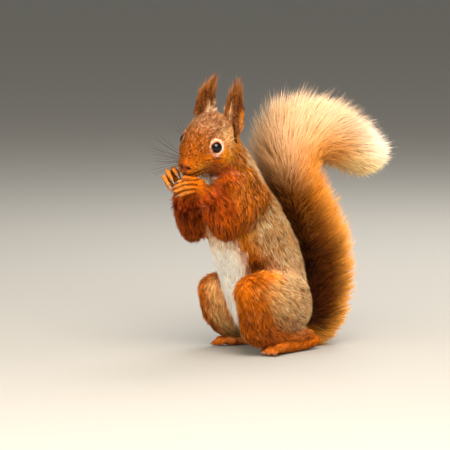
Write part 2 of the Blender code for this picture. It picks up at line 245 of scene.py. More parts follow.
def arrays_of(obj):
    """Points in millimetres, triangles and point normals of a mesh object."""
    mesh = obj.data
    points = np.empty(len(mesh.vertices) * 3, np.float32)
    mesh.vertices.foreach_get("co", points)
    mesh.calc_loop_triangles()
    faces = np.empty(len(mesh.loop_triangles) * 3, np.int32)
    mesh.loop_triangles.foreach_get("vertices", faces)
    normals = np.empty(len(mesh.vertices) * 3, np.float32)
    mesh.vertex_normals.foreach_get("vector", normals)
    points, normals = (rows.reshape(-1, 3).astype(float) for rows in (points, normals))
    return points / MM, faces.reshape(-1, 3), normals


def baked(obj):
    """Replaces the mesh by what its modifiers make of it."""
    graph = bpy.context.evaluated_depsgraph_get()
    mesh = bpy.data.meshes.new_from_object(obj.evaluated_get(graph))
    obj.modifiers.clear()
    obj.data = mesh
    return obj


# ---------------------------------------------------------------- the animal's own measures
HEAD_CENTRE = vec(8.2, -75.2, 144.5)  # midway between the eyes
HEAD_TURN, HEAD_BOW, HEAD_LEAN = np.radians([21.0, 30.0, 12.0])
AHEAD = vec(
    math.sin(HEAD_TURN) * math.cos(HEAD_BOW), -math.cos(HEAD_TURN) * math.cos(HEAD_BOW), -math.sin(HEAD_BOW)
)
LEVEL = vec(math.cos(HEAD_TURN), math.sin(HEAD_TURN), 0)
ERECT = np.cross(AHEAD, LEVEL)
LEFT = LEVEL * math.cos(HEAD_LEAN) - ERECT * math.sin(HEAD_LEAN)
UP = ERECT * math.cos(HEAD_LEAN) + LEVEL * math.sin(HEAD_LEAN)
HEAD_AXES = np.array([LEFT, AHEAD, UP])


def on_head(side, ahead, up):
    """The place this far to the head's left, ahead of its centre and up from it."""
    return HEAD_CENTRE + LEFT * side + AHEAD * ahead + UP * up


def head_places(points):
    """Side, ahead and up of each point in the head's own axes."""
    return (points - HEAD_CENTRE) @ HEAD_AXES.T


# the ear's canal and the fold under it, seen from its open side: rise, towards the front rim, 0, half width
EAR_SLIT = np.array([(6.5, 0.3, 0, 0.9), (2.5, 0.2, 0, 1.3), (-4.5, -3.5, 0, 0.1)])
NOSE = on_head(0, 20.4, -6.8)  # middle of the bare nose
EYE_RADIUS, LID_RADIUS = 4.5, 5.45
EYE_OPENING = 2.95  # distance from the eye's centre to the plane of its lids
EYES = {s: on_head(s * 11.0, 0.0, -1.95) for s in (1, -1)}
GAZE = {s: unit(LEFT * s * 0.66 + AHEAD * 0.60 + UP * 0.45) for s in (1, -1)}

SHOULDER, ANKLE, HEEL, TOE_BASE = vec(18, -42, 102), vec(22, 3, 10), vec(20, 9, 6), vec(28, -27, 4.5)
ELBOW = {1: vec(27, -68, 90), -1: vec(-19, -63, 84)}
WRIST = {1: vec(20, -81, 114), -1: vec(-8.5, -80, 110)}
FINGERS = {  # knuckle, bend, tip
    1: (
        ((18.0, -86.5, 121.0), (14.2, -92.6, 121.4), (10.8, -94.6, 118.8)),
        ((18.8, -86.2, 118.4), (15.0, -93.6, 118.4), (10.8, -96.8, 115.6)),
        ((18.8, -85.8, 115.8), (15.2, -93.2, 115.2), (10.8, -97.0, 112.6)),
        ((18.2, -85.2, 113.4), (14.6, -90.6, 111.8), (11.0, -93.6, 109.8)),
    ),
    -1: (
        ((-4.4, -86, 123.2), (0.4, -91.6, 126.6), (4.4, -91.4, 122.6)),
        ((-6, -88.5, 121.2), (-0.6, -95.8, 124.8), (4.2, -95.6, 119.6)),
        ((-6.8, -89, 118), (-1.2, -98, 121), (4, -98, 116.4)),
        ((-6.8, -88, 114.8), (-1.4, -95.2, 116.6), (3.4, -95.6, 112.6)),
    ),
}
KNEE_AHEAD, KNEE_LIFT = {1: 7.0, -1: 0.0}, {1: 4.5, -1: 0.0}
ARM_BULK = {1: 1.0, -1: 0.86}
EAR = {1: (11.8, 0.06, 0.45), -1: (14.5, 0.13, 0.2)}  # apart, converge, outward
TUFT_TOP = 41.5  # where the ear's long hair ends, from its root along its axis

TRUNK = (  # x, y, z, half width, half depth, out to the tips of the coat
    (0, -8, 14, 22, 20), (0, -12, 27, 27.5, 28), (0, -17, 43, 29.5, 30), (0, -22, 60, 30, 30.5),
    (0, -29, 76, 28.5, 29.5), (0, -37, 93, 25.5, 27), (0, -42.5, 108, 21.5, 22.5), (0.5, -48, 123, 18.5, 19),
    (2, -55, 137, 15, 16),
)
TRUNK_COAT = (2.6, 2.7, 2.7, 2.6, 2.4, 2.0, 1.6, 1.2, 1.0)  # depth of the coat at each of these stations
THIGH_COAT = (2.2, 2.2, 2.0, 1.8, 1.6)
SHANK_COAT = (2.0, 2.0, 1.9, 1.8, 1.7, 1.6)
TAIL = (  # y, z of the bone, then y, z, half width and half depth of the plume round it
    (8, 13, 12, 10, 12, 11.5),
    (20, 14, 25, 13, 19, 15),
    (26, 29, 31, 28, 26, 16),
    (26, 52, 31.5, 52, 31, 17.5),
    (21, 74, 27, 74, 33, 18),
    (11, 97, 16, 97, 33, 18),
    (5, 116, 4, 119, 31, 17.5),
    (7, 130, -1, 138, 33, 20),
    (16, 139, 10, 153, 35, 22),
    (29, 140, 26, 151, 35, 22.5),
    (42, 135, 42, 143, 32, 21),
    (54, 129, 56, 134.5, 28, 19),
    (62, 125, 68, 126.5, 22, 16),
)


def inset(stations, depths):
    """The same stations under a coat of these depths, one for each station."""
    rows = np.array(stations, float)
    rows[:, 3:] -= np.array(depths)[:, None]
    return rows


# ---------------------------------------------------------------- forms under the skin


def head_bulk():
    """Skull, throat, jaw and cheeks."""
    skull = [  # ahead, up, half width, half height
        (-26.5, -8.0, 7.5, 6.5), (-22.5, -5.6, 12.0, 10.4), (-16, -3.9, 15.2, 13.4), (-7, -4.5, 15.6, 15.7),
        (2, -6, 13.8, 15.4), (8.5, -7.4, 11.5, 13.8), (13.5, -8.6, 9.6, 11.3), (17.5, -8.6, 7.5, 8.6),
    ]
    forms = [
        tube([(*on_head(0, ahead, up), wide, high) for ahead, up, wide, high in skull], LEFT, around=40),
        ball(on_head(2, -6, -18), (13.5, 12.2, 8.4), HEAD_AXES),  # jaw
        ball(vec(1, -54, 144), (12, 12.8, 13)),  # throat
    ]
    for s in (1, -1):
        forms += [
            ball(on_head(s * 9.6, -4, -10.5), (8.0, 11.8, 9.3), HEAD_AXES),  # cheek
            ball(on_head(s * 6.5, -8, -18.5), (11.8, 12.4, 10.9), HEAD_AXES),  # side of the throat
        ]
        root, _, _, toward = ear_axes(s)
        forms.append(ball(root - toward * 3.5 - LEFT * s * 4.5, (7.5, 7.5, 9.0), HEAD_AXES))  # ear's base
    return forms


def head_details():
    """Brows, bridge, whisker pads, nose, lids and ears."""
    forms = [
        ball(on_head(0, 18.4, -6.4), (4.5, 4.1, 4.2), HEAD_AXES),  # nose
        ball(on_head(0, 10, -1.6), (5.6, 9.5, 4.2), HEAD_AXES),  # bridge
    ]
    for s in (1, -1):
        forms += [
            ball(on_head(s * 6.9, -1.0, 3.2), (4.2, 7.4, 4.2), HEAD_AXES),  # brow
            ball(on_head(s * 4.0, 14.6, -8.8), (4.8, 5.4, 5.0), HEAD_AXES),  # whisker pad
            ball(EYES[s], (LID_RADIUS,) * 3, cut=(GAZE[s], EYE_OPENING)),
            ear_form(s),
        ]
    return forms


def ear_axes(s):
    """Root, axis, across and opening direction of an ear."""
    apart, converge, outward = EAR[s]
    axis = unit(UP * 0.85 - AHEAD * 0.45 - LEFT * s * converge)
    toward = AHEAD + LEFT * s * outward
    toward = unit(toward - axis * (toward @ axis))
    return on_head(s * apart, -21, -7), axis, unit(np.cross(axis, toward)), toward


def ear_form(s):
    """The ear's leaf: a tube 1.7 mm thick whose rings are bent to a cup that opens ahead."""
    root, axis, across, toward = ear_axes(s)
    leaf = ((-5, 3.6, 2.6), (1, 5.2, 1.9), (8, 6.5, 1.1), (15, 6.6, 0.9), (21, 5.2, 0.85), (25.5, 2.8, 0.8))
    stations = []
    for rise, wide, deep in leaf:
        inward = LEFT * s * 0.09 * max(4 - rise, 0) ** 1.6
        stations.append((*(root + axis * rise - toward * 0.8 - inward), wide, deep))
    return tube(stations, across, around=36, steps=6, cup=3.4)


def arm_forms(s):
    """Shoulder, upper arm, forearm and the fold of skin between them."""
    bulk = ARM_BULK[s]
    shoulder, elbow, wrist = SHOULDER * (s, 1, 1), ELBOW[s], WRIST[s]
    fold = (shoulder * 0.4 + elbow * 0.6 + elbow * 0.6 + wrist * 0.4) / 2
    upper = [
        (*(shoulder + vec(-s * 3, 4, 3)), 11.8, 10.8), (*(shoulder * 0.65 + elbow * 0.35), 11.6, 10.4),
        (*(shoulder * 0.3 + elbow * 0.7), 10.8, 9.2), (*elbow, 8.4, 8),
    ]
    fore = [
        (*(elbow + (wrist - elbow) * share), wide * bulk, deep * bulk)
        for share, wide, deep in ((0, 9.4, 9.4), (0.3, 9.9, 9.9), (0.62, 8.9, 8.7), (0.86, 7.0, 6.8))
    ]
    inner = [
        (s * 11, -44, 117, 11, 11), (s * 13.5, -56, 111.5, 10.5, 10.5),
        (*(wrist + vec(-s * 4, 12, -6.5)), 8.6 * bulk, 8.6 * bulk),
    ]
    return [
        tube(upper, (0, 0.3, 1)), tube([*fore, (*wrist, 5.2, 4.4)]),
        ball(fold, vec(9, 9.6, 9.6) * bulk), tube(inner),
    ]


def hand_forms(s):
    """Palm and four fingers, bent at their middle joints."""
    wrist = WRIST[s]
    knuckles = np.array([f[0] for f in FINGERS[s]], float)
    forms = [ball((wrist + knuckles.mean(0)) / 2, (4.0, 4.5, 5.2))]
    for bones in FINGERS[s]:
        knuckle, bend, tip = (np.array(b, float) for b in bones)
        forms += [
            rod(wrist * 0.6 + knuckle * 0.4, knuckle, 2.5, 2.05),
            rod(knuckle, bend, 1.75, 1.55), rod(bend, tip, 1.55, 1.15),
            ball(bend, (1.8,) * 3, around=16), ball(knuckle, (2.1,) * 3, around=16),
        ]
    return forms


def leg_places(s):
    """Stations of thigh and shank of one leg, out to the tips of its coat."""

    def place(x, y, z, share=0.0, raised=0.0):
        """A point of the leg, moved by these shares of its knee's own shift ahead and up."""
        return (s * x, y - KNEE_AHEAD[s] * share, z + KNEE_LIFT[s] * raised)

    thigh = [
        (*place(15, -5, 27), 14.5, 17), (*place(20, -12, 29, 0, 0.3), 16, 23),
        (*place(23.5, -23, 32, 0.4, 0.8), 15.5, 25), (*place(26, -33, 36.5, 0.9, 0.9), 13.5, 19.5),
        (*place(26.5, -39.5, 39.5, 1, 1), 11.5, 14),
    ]
    shank = [
        (*place(26.5, -39, 40, 1, 1), 12, 14), (*place(26.8, -36, 27, 1.05), 12.5, 13.5),
        (*place(26.3, -29.5, 17, 1.7), 11.5, 11.5), (*place(24.5, -18, 12, 0.9), 9, 9),
        (*place(22.5, -4, 10.5), 7.5, 7.5), (*place(*ANKLE), 6.5, 6.5),
    ]
    return thigh, shank


def toes(s):
    """Root, joint and tip of each of a foot's five toes, spread like a fan."""
    base = TOE_BASE * (s, 1, 1)
    found = []
    for number in (-2, -1, 0, 1, 2):
        spread = math.radians(s * (number * 7.0 + 10))
        way = vec(math.sin(spread), -math.cos(spread), 0)
        root = base + vec(number * 2.4, 0.5 * abs(number), -0.6)
        length = 11.5 - 1.3 * abs(number)
        joint = root + way * length * 0.6 + vec(0, 0, 0.6)
        found.append((root, joint, root + way * length + vec(0, 0, -1.6)))
    return found


def leg_forms(s):
    """Thigh and shank."""
    thigh, shank = leg_places(s)
    return [tube(inset(thigh, THIGH_COAT)), tube(inset(shank, SHANK_COAT))]


def foot_forms(s):
    """Long foot and five toes."""
    heel, base = HEEL * (s, 1, 1), TOE_BASE * (s, 1, 1)
    forms = [tube([(*heel, 4.4, 4.3), (*(heel + base) / 2, 4.7, 4.9), (*base, 5.7, 3.9)])]
    for root, joint, tip in toes(s):
        forms += [rod(root, joint, 2.2, 1.9), rod(joint, tip, 1.95, 1.4)]
    return forms


def tail_bone(steps=8):
    """Rows along the tail: bone point, plume centre, half width and depth, direction, and the way out."""
    rows = smooth_path(TAIL, steps)
    nothing = np.zeros(len(rows))
    bone = np.stack([nothing, rows[:, 0], rows[:, 1]], 1)
    plume = np.stack([nothing, rows[:, 2], rows[:, 3]], 1)
    along = unit(np.gradient(bone, axis=0))
    return bone, plume, rows[:, 4], rows[:, 5], along, np.cross(vec(1, 0, 0), along)


def fused(name, forms, voxel, rounds):
    """One closed mesh of all the forms, its creases softened by this many rounds of smoothing."""
    obj = mesh_object(name, *join(forms))
    fuse = obj.modifiers.new("fuse", "REMESH")
    fuse.mode = "VOXEL"
    fuse.voxel_size = voxel * MM
    soften = obj.modifiers.new("soften", "SMOOTH")
    soften.iterations = rounds
    return baked(obj)


def make_skin():
    """One closed skin over the whole animal.

    The bulk is fused and softened first and then joined by the fine forms. Mouth, nostrils, ear canals and
    the gaps between fingers are drawn in, and the mesh is thinned.
    """
    bulk = [tube(inset(TRUNK, TRUNK_COAT), around=48), *head_bulk()]
    fine = head_details()
    for s in (1, -1):
        bulk += arm_forms(s) + leg_forms(s)
        fine += hand_forms(s) + foot_forms(s)
    core = fused("bulk", bulk, voxel=1.3, rounds=28)
    points, faces, _ = arrays_of(core)
    bpy.data.objects.remove(core)
    bone, *_ = tail_bone()
    girth = np.interp(np.arange(len(bone)), [0, 12, 40, len(bone) - 1], [8.5, 6.5, 4.5, 2.2])  # its flesh
    tail = tube([(*p, r, r) for p, r in zip(bone[::4], girth[::4])], around=20, steps=2)
    skin = fused("skin", [(points, faces), tail, *fine], voxel=VOXEL, rounds=SOFTENING)
    points, faces, normals = arrays_of(skin)
    points = points - normals * creases(points, normals)[:, None]
    points[:, 2] = np.maximum(points[:, 2], SKIN_LOWEST)
    skin.data.vertices.foreach_set("co", (points * MM).astype(np.float32).ravel())
    skin.data.update()
    thin = skin.modifiers.new("thin", "DECIMATE")
    thin.ratio = min(1.0, SKIN_TRIANGLES / len(faces))
    baked(skin)
    skin.data.polygons.foreach_set("use_smooth", np.ones(len(skin.data.polygons), bool))
    return skin


def face_lines(points):
    """Mouth, lip and nostrils as narrow bell curves, 1 at the middle of each line."""
    side, ahead, up = head_places(points).T
    near = (np.abs(side) < 13) & (ahead > 3) & (up < 2) & (up > -20)
    line = -12.6 - 0.12 * (18 - ahead) + 0.02 * side**2
    mouth = near * bell(up, line, 0.95) * ramp(ahead, 13, 16)
    lip = near * bell(side, 0, 0.5) * ramp(ahead, 14, 17) * ramp(-up, 8.4, 9.2) * ramp(up, -13.2, -12.2)
    across, rise = np.abs(side) - 2.9, up + 6.1
    hole = np.exp(-((across / 1.25) ** 2) - ((rise + 0.35 * across) / 0.8) ** 2)
    return mouth, lip, near * hole * ramp(ahead, 16.5, 18)


def ear_gap(points, normals):
    """Distance from the dark line of an ear: its canal and the fold that runs down and back from it."""
    best = np.full(len(points), FAR)
    for s in (1, -1):
        root, axis, across, toward = ear_axes(s)
        away = points - root
        flat = np.stack([away @ axis, away @ across * np.sign(across @ AHEAD), 0 * away[:, 0]], 1)
        near = (np.abs(away @ toward) < 8) & (s * head_places(points)[:, 0] > 0)
        near = near & (normals @ unit(toward + LEFT * s * 0.5) > 0)
        best = np.where(near, np.minimum(best, near_line(flat, EAR_SLIT)[0]), best)
    return best


def creases(points, normals):
    """Depth in millimetres by which mouth, lip, nostrils, ear canals and finger gaps are drawn in."""
    mouth, lip, nostril = face_lines(points)
    canal = 1 - ramp(ear_gap(points, normals), -0.6, 0.6)
    return 1.3 * mouth + 0.8 * lip + 1.9 * nostril + 2.4 * canal + 0.6 * finger_creases(points)


# ---------------------------------------------------------------- which part a place belongs to
SIDES = {1: "left", -1: "right"}
CHARTS = {  # each part's rectangle on the unwrapped skin: low u, low v, high u, high v
    "trunk": (0.00, 0.00, 0.40, 0.45), "head": (0.40, 0.00, 0.75, 0.45),
    "thigh_left": (0.75, 0.00, 1.00, 0.225), "thigh_right": (0.75, 0.225, 1.00, 0.45),
    "shank_left": (0.00, 0.45, 0.20, 0.60), "shank_right": (0.20, 0.45, 0.40, 0.60),
    "upper_arm_left": (0.40, 0.45, 0.60, 0.60), "upper_arm_right": (0.60, 0.45, 0.80, 0.60),
    "forearm_left": (0.80, 0.45, 1.00, 0.60), "forearm_right": (0.00, 0.60, 0.20, 0.75),
    "foot_left": (0.20, 0.60, 0.40, 0.75), "foot_right": (0.40, 0.60, 0.60, 0.75),
    "hand_left": (0.60, 0.60, 0.80, 0.75), "hand_right": (0.80, 0.60, 1.00, 0.75),
    "ear_left": (0.00, 0.75, 0.15, 1.00), "ear_right": (0.15, 0.75, 0.30, 1.00),
    "tail": (0.30, 0.75, 1.00, 1.00),
}
PARTS = list(CHARTS)
CHART_ROWS = np.array([CHARTS[p] for p in PARTS])
MARGIN = 0.004  # border left free inside each rectangle
PATCH = 0.003  # side of one hair's own patch


def on_chart(corners, turn, share):
    """Places on the unwrap: turn is u and share is v, both from 0 to 1 inside a rectangle's margin."""
    low, high = corners[..., :2], corners[..., 2:]
    return low + MARGIN + np.stack([turn, share], 1) * (high - low - 2 * MARGIN)


def coat_lines():
    """Each part's middle line as rows of x, y, z and radius of the skin, run the way its hair lies."""
    skull = ((17, -7, 6), (8, -7, 10.5), (-6, -5, 13.5), (-22, -4, 11))  # ahead, up, radius
    lines = {
        "head": [(*on_head(0, ahead, up), r) for ahead, up, r in skull],
        "trunk": [(x, y, z, (w + d) / 2 - 5) for x, y, z, w, d in TRUNK[::-1]],
        "tail": [(0, y, z, 6) for y, z, *_ in TAIL],
    }
    for s, name in SIDES.items():
        shoulder, elbow, wrist = SHOULDER * (s, 1, 1), ELBOW[s], WRIST[s]
        tips = np.array([f[2] for f in FINGERS[s]], float).mean(0)
        knuckles = np.array([f[0] for f in FINGERS[s]], float).mean(0)
        thigh, shank = leg_places(s)
        heel, base = HEEL * (s, 1, 1), TOE_BASE * (s, 1, 1)
        root, axis, _, toward = ear_axes(s)
        lines |= {
            f"upper_arm_{name}": [
                (*(shoulder + vec(-s * 3, 3, 6)), 9), (*(shoulder * 0.5 + elbow * 0.5), 8), (*elbow, 6),
            ],
            f"forearm_{name}": [
                (*elbow, 6.5), (*(elbow * 0.5 + wrist * 0.5), 6), (*(elbow * 0.08 + wrist * 0.92), 3.6),
            ],
            f"hand_{name}": [(*(elbow * 0.05 + wrist * 0.95), 3.4), (*knuckles, 4.2), (*tips, 3.2)],
            f"thigh_{name}": [(x, y, z, (w + d) / 2 - 4.5) for x, y, z, w, d in thigh],
            f"shank_{name}": [(x, y, z, (w + d) / 2 - 3.5) for x, y, z, w, d in shank],
            f"foot_{name}": [(*heel, 4.2), (*base, 4.4), (*(base + vec(s * 2.5, -13, -1)), 3.6)],
            f"ear_{name}": [(*(root + axis * up - toward * 0.5), 4.6 - up * 0.04) for up in (2, 14, 26)],
        }
    return [np.array(lines[p], float) for p in PARTS]


LINES = coat_lines()


def near_line(points, line):
    """Gap to the line's own surface, share of the way along it, nearest place on it and its direction."""
    steps = np.diff(line[:, :3], axis=0)
    lengths = np.linalg.norm(steps, axis=1)
    passed = np.concatenate([[0], np.cumsum(lengths)]) / lengths.sum()
    bends = unit(np.gradient(line[:, :3], axis=0))
    gap = np.full(len(points), np.inf)
    share, place, way = np.zeros(len(points)), np.zeros_like(points), np.zeros_like(points)
    for i, step in enumerate(steps):
        t = np.clip((points - line[i, :3]) @ step / lengths[i] ** 2, 0, 1)
        here = line[i, :3] + t[:, None] * step
        off = np.linalg.norm(points - here, axis=1) - (line[i, 3] + t * (line[i + 1, 3] - line[i, 3]))
        best = off < gap
        gap = np.where(best, off, gap)
        share = np.where(best, passed[i] + t * (passed[i + 1] - passed[i]), share)
        place = np.where(best[:, None], here, place)
        way = np.where(best[:, None], mix(bends[i], bends[i + 1], t), way)
    return gap, share, place, unit(way)


class Places:
    """Points of the skin with what is known of each.

    weights are the shares in which the parts meet there, part is the nearest of them, and chart is the place
    on the unwrap.
    """

    def __init__(self, points, normals):
        self.points, self.normals = points, normals
        found = [near_line(points, line) for line in LINES]
        gaps = np.stack([f[0] for f in found], 1)
        self.shares = np.stack([f[1] for f in found], 1)
        self.ways = np.stack([f[3] for f in found], 1)
        near = np.exp(-(gaps - gaps.min(1, keepdims=True)) / 1.6)
        self.weights = near / near.sum(1, keepdims=True)
        self.part = gaps.argmin(1)
        self.side, self.ahead, self.up = head_places(points).T
        rows = np.arange(len(points))
        place, way = np.stack([f[2] for f in found], 1)[rows, self.part], self.ways[rows, self.part]
        self.chart = self.unwrapped(place, way, self.shares[rows, self.part])

    def unwrapped(self, place, way, share):
        """u is the turn round the part's line, v the share along it, inside the part's rectangle."""
        flat = unit(np.cross(way, np.where(np.abs(way[:, :1]) < 0.8, [[1.0, 0, 0]], [[0, 1.0, 0]])))
        away = self.points - place
        turn = np.arctan2(dot(away, flat)[:, 0], dot(away, np.cross(way, flat))[:, 0]) / (2 * math.pi) + 0.5
        return on_chart(CHART_ROWS[self.part], turn, share)

    def weight(self, *names):
        """Share of the parts whose names start with one of these."""
        return sum(self.weights[:, i] for i, p in enumerate(PARTS) if p.startswith(names))

    def along(self, *names):
        """Share of the way along whichever of these parts is nearest."""
        chosen = [i for i, p in enumerate(PARTS) if p.startswith(names)]
        weights = self.weights[:, chosen]
        return (self.shares[:, chosen] * weights).sum(1) / np.maximum(weights.sum(1), 1e-6)

    def round_trunk(self):
        """Degrees from the middle of the belly: 0 in front, 180 at the spine."""
        rows = np.array(TRUNK, float)
        middle = np.interp(self.points[:, 2], rows[:, 2], rows[:, 1])
        return np.degrees(np.arctan2(np.abs(self.points[:, 0]), middle - self.points[:, 1]))

    def eye_gap(self):
        """Distance from the axis of the nearer eye, and from its centre."""
        best_axis, best = np.full(len(self.points), FAR), np.full(len(self.points), FAR)
        for s in (1, -1):
            away = self.points - EYES[s]
            out = away @ GAZE[s]
            far = np.linalg.norm(away, axis=1)
            ring = np.sqrt(np.maximum(far**2 - out**2, 0)) + 20 * (out < -1)
            best_axis, best = np.minimum(best_axis, ring), np.minimum(best, far)
        return best_axis, best


# ---------------------------------------------------------------- markings


def blob(at, middle, size):
    """A soft spot on both sides of the head, 1 at its middle: exp(-(distance / size)^2)."""
    side, ahead, up = middle
    squares = (np.abs(at.side) - side) ** 2 + (at.ahead - ahead) ** 2 + (at.up - up) ** 2
    return np.exp(-squares / size**2)


def eye_corner(points, s):
    """1 on the dark line that runs ahead from the front corner of an eye."""
    start = EYES[s] + AHEAD * 3.6 - UP * 0.4 + LEFT * s * 1.6
    end = EYES[s] + AHEAD * 6.0 - UP * 0.2 + LEFT * s * 0.4
    return 1 - ramp(near_line(points, np.array([(*start, 1.1), (*end, 0.3)]))[0], 0.0, 0.5)


def head_markings(at):
    """Grey-brown crown, rufous forehead and cheeks, pale eye ring, bare nose, cream chin."""
    beside, down = np.abs(at.side), -at.up
    ring, far = at.eye_gap()
    near = far < 9
    from_eye = at.points - np.where(at.side[:, None] > 0, EYES[1], EYES[-1])
    # the upper side of each eye, where the painted shade of the lid falls
    over = ramp(from_eye @ (AHEAD * 0.7 + UP * 0.7), -1, 2)
    from_nose = np.linalg.norm(at.points - (NOSE - UP * 0.1), axis=1)
    mouth, lip, nostril = face_lines(at.points)
    return layered(between("#8e5c3a", "#82461c", ramp(at.ahead, -5, 8)), [
        ("#d87414", ramp(down, -1, 7) * ramp(at.ahead, -26, -12)),  # the whole side of the face
        ("#f6922e", 0.95 * blob(at, (16, -7.5, -13), 12)),  # cheek
        ("#c89868", 0.7 * blob(at, (14, -9.5, 1), 6) + 0.7 * blob(at, (16.5, -11.5, -6.5), 5.5)),  # temple
        ("#8e360a", 0.85 * blob(at, (12.5, 4.5, -9.5), 4.2)),  # under the eye
        ("#864410", 0.8 * ramp(at.ahead, 9, 14)),  # bridge and muzzle
        ("#cc8c38", 0.7 * blob(at, (6.5, 15.5, -10), 4.5)),  # whisker pad
        ("#d6ac88", 0.7 * ramp(-at.ahead, 21, 29) * ramp(at.up, -26, -14)),  # nape
        ("#efdcc0", ramp(down, 13.5, 16) * (1 - ramp(beside, 2, 5)) * ramp(at.ahead, 4, 9)),  # chin
        ("#fff0dc", ramp(down, 21, 24) * (1 - ramp(beside, 4, 8))),  # throat
        ("#dcb8a4", near * (1 - ramp(ring, 5.2, 6.0))),  # pale ring
        ("#a85420", 0.85 * near * over * (1 - ramp(ring, 4.6, 5.1))),  # painted shade of the upper lid over the eye
        ("#140a06", near * (1 - ramp(ring, 3.7, 4.1))),  # rim of the lids
        ("#140a06", eye_corner(at.points, 1)),
        ("#140a06", eye_corner(at.points, -1)),
        ("#562a1e", 1 - ramp(from_nose, 3.4, 4.6)),
        # near black mouth, lip cleft and nostrils: painted shade in these drawn-in creases and holes
        ("#1e0b06", np.clip(1.2 * mouth + 0.8 * lip + 1.6 * nostril, 0, 0.97)),
    ])


def groin(at, turn):
    """The warm patch above the thigh: exp(-((height - 64) / 8)^2) from the belly's border to the flank."""
    return bell(at.points[:, 2], 64, 8) * ramp(turn, 30, 40) * (1 - ramp(turn, 66, 92))


def trunk_markings(at):
    """Cream belly, a rufous border, grizzled brown flanks and back, rufous shoulders and nape sides."""
    turn = at.round_trunk() + 5 * wander(at.points, 9)
    height = at.points[:, 2]
    back = between("#c08a54", "#f2be8e", ramp(height, 84, 40))
    back = mix(back, pelt("#ac6222"), ramp(height, 94, 114) * (1 - 0.55 * ramp(turn, 110, 160)))
    flank = mix(pelt("#c4701e"), back, ramp(turn, 46, 70))
    # the belly darkens towards its top: painted shade under the arms over the cream
    belly = between("#bc8a60", "#fff0e0", ramp(height, 88, 62))
    breast, beside = ramp(height, 84, 94), ramp(turn, 10, 22)
    return layered(mix(belly, flank, ramp(turn + 3 * wander(at.points, 2.4, 8), 32, 45)), [
        ("#b4540f", breast * beside * (1 - ramp(turn, 60, 90))),  # sides of the breast
        # dark rufous in the middle of the breast: painted shade between the arms over a paler chest
        ("#a04a14", 0.8 * breast * (1 - ramp(height, 108, 116)) * (1 - beside)),
        ("#fff2e0", 0.9 * bell(height, 118, 3.2) * (1 - ramp(turn, 26, 42))),  # pale strip under the throat
        ("#a8581a", 0.85 * groin(at, turn)),
        ("#1c0802", 0.95 * bell(height, 60.5, 5) * ramp(turn, 34, 44) * (1 - ramp(turn, 56, 84))),  # painted shade in the fold of skin above the thigh
        ("#ecc49c", 0.85 * bell(height, 124, 11) * ramp(turn, 108, 135)),  # nape
    ])


def finger_creases(points):
    """1 where two fingers of a hand meet: exp(-((second gap - first gap) / 0.9)^2), and 0 away from them."""
    found = np.zeros(len(points))
    for s in (1, -1):
        fingers = [np.array([(*bone, 1.5) for bone in bones], float) for bones in FINGERS[s]]
        gaps = np.sort(np.stack([near_line(points, finger)[0] for finger in fingers], 1), axis=1)
        meeting = bell(gaps[:, 1], gaps[:, 0], 0.9) * (1 - ramp(gaps[:, 1], 0.9, 2.2))
        found = np.maximum(found, meeting)
    return found


def ear_markings(at):
    """Brown ears, dark inside, with a pale streak along the front rim and a rufous rear rim."""
    ear = between("#865020", "#70401c", ramp(at.along("ear"), 0.1, 0.8))
    for s in (1, -1):
        root, axis, across, toward = ear_axes(s)
        away = at.points - root
        rise, rim = away @ axis, away @ across * np.sign(across @ AHEAD)
        inside = ramp(at.normals @ toward, 0.1, 0.6) * (np.linalg.norm(away, axis=1) < 34) * (s * at.side > 0)
        ear = layered(ear, [
            ("#4e2a16", 0.85 * inside),
            ("#c4a07c", 0.8 * inside * bell(rim, 3.6, 1.3) * ramp(rise, 6, 10) * (1 - ramp(rise, 19, 23))),
            ("#ac682e", 0.85 * inside * ramp(-rim, 3.2, 4.8) * (1 - ramp(rise, 18, 23))),
        ])
    return ear


def limb_markings(at):
    """Deep rufous arms, orange hands and feet, thighs rufous in front, grizzled behind and pale inside."""
    x, y, z = at.points.T
    inner = ramp(-np.sign(x) * at.normals[:, 0] + 0.12 * wander(at.points, 6), 0.05, 0.85)
    forward = -y - 0.25 * (z - 36) + 2.4 * (z - 47.5).clip(0)
    thigh = between("#d8a06c", "#ee800e", ramp(forward + 5 * wander(at.points, 8), 30, 54))
    hand = between("#a25612", "#b27036", ramp(at.along("hand"), 0.3, 1.0))
    return {
        "upper_arm": between("#965422", "#a05214", ramp(at.along("upper_arm"), 0.2, 0.9)),
        "forearm": between("#984509", "#7a3005", ramp(at.along("forearm"), 0.3, 0.9)),
        # near black where two fingers meet: painted shade in the gaps between them
        "hand": mix(hand, pelt("#3a1004"), 0.95 * finger_creases(at.points)),
        "thigh": layered(thigh, [
            ("#b45e14", 0.7 * ramp(z, 36, 12) * ramp(-y, 2, 20)),
            ("#ee9c5c", 0.9 * inner * (1 - 0.7 * ramp(z, 40, 52))),
        ]),
        "shank": between("#a8560f", "#eab078", 0.8 * inner),
        "foot": between("#a05218", "#a05828", at.along("foot")),
        "ear": ear_markings(at),
    }


def markings(at):
    """The animal's colour at each place: every part's own colour in the shares in which the parts meet."""
    own = {"head": head_markings(at), "trunk": trunk_markings(at), **limb_markings(at)}
    own["tail"] = pelt("#9a5c28")
    whole = sum(tone * at.weight(part)[:, None] for part, tone in own.items())
    # near black in each ear's canal and the fold under it: painted shade in these hollows
    return mix(whole, pelt("#0c0402"), 1 - ramp(ear_gap(at.points, at.normals), 0.0, 0.8))


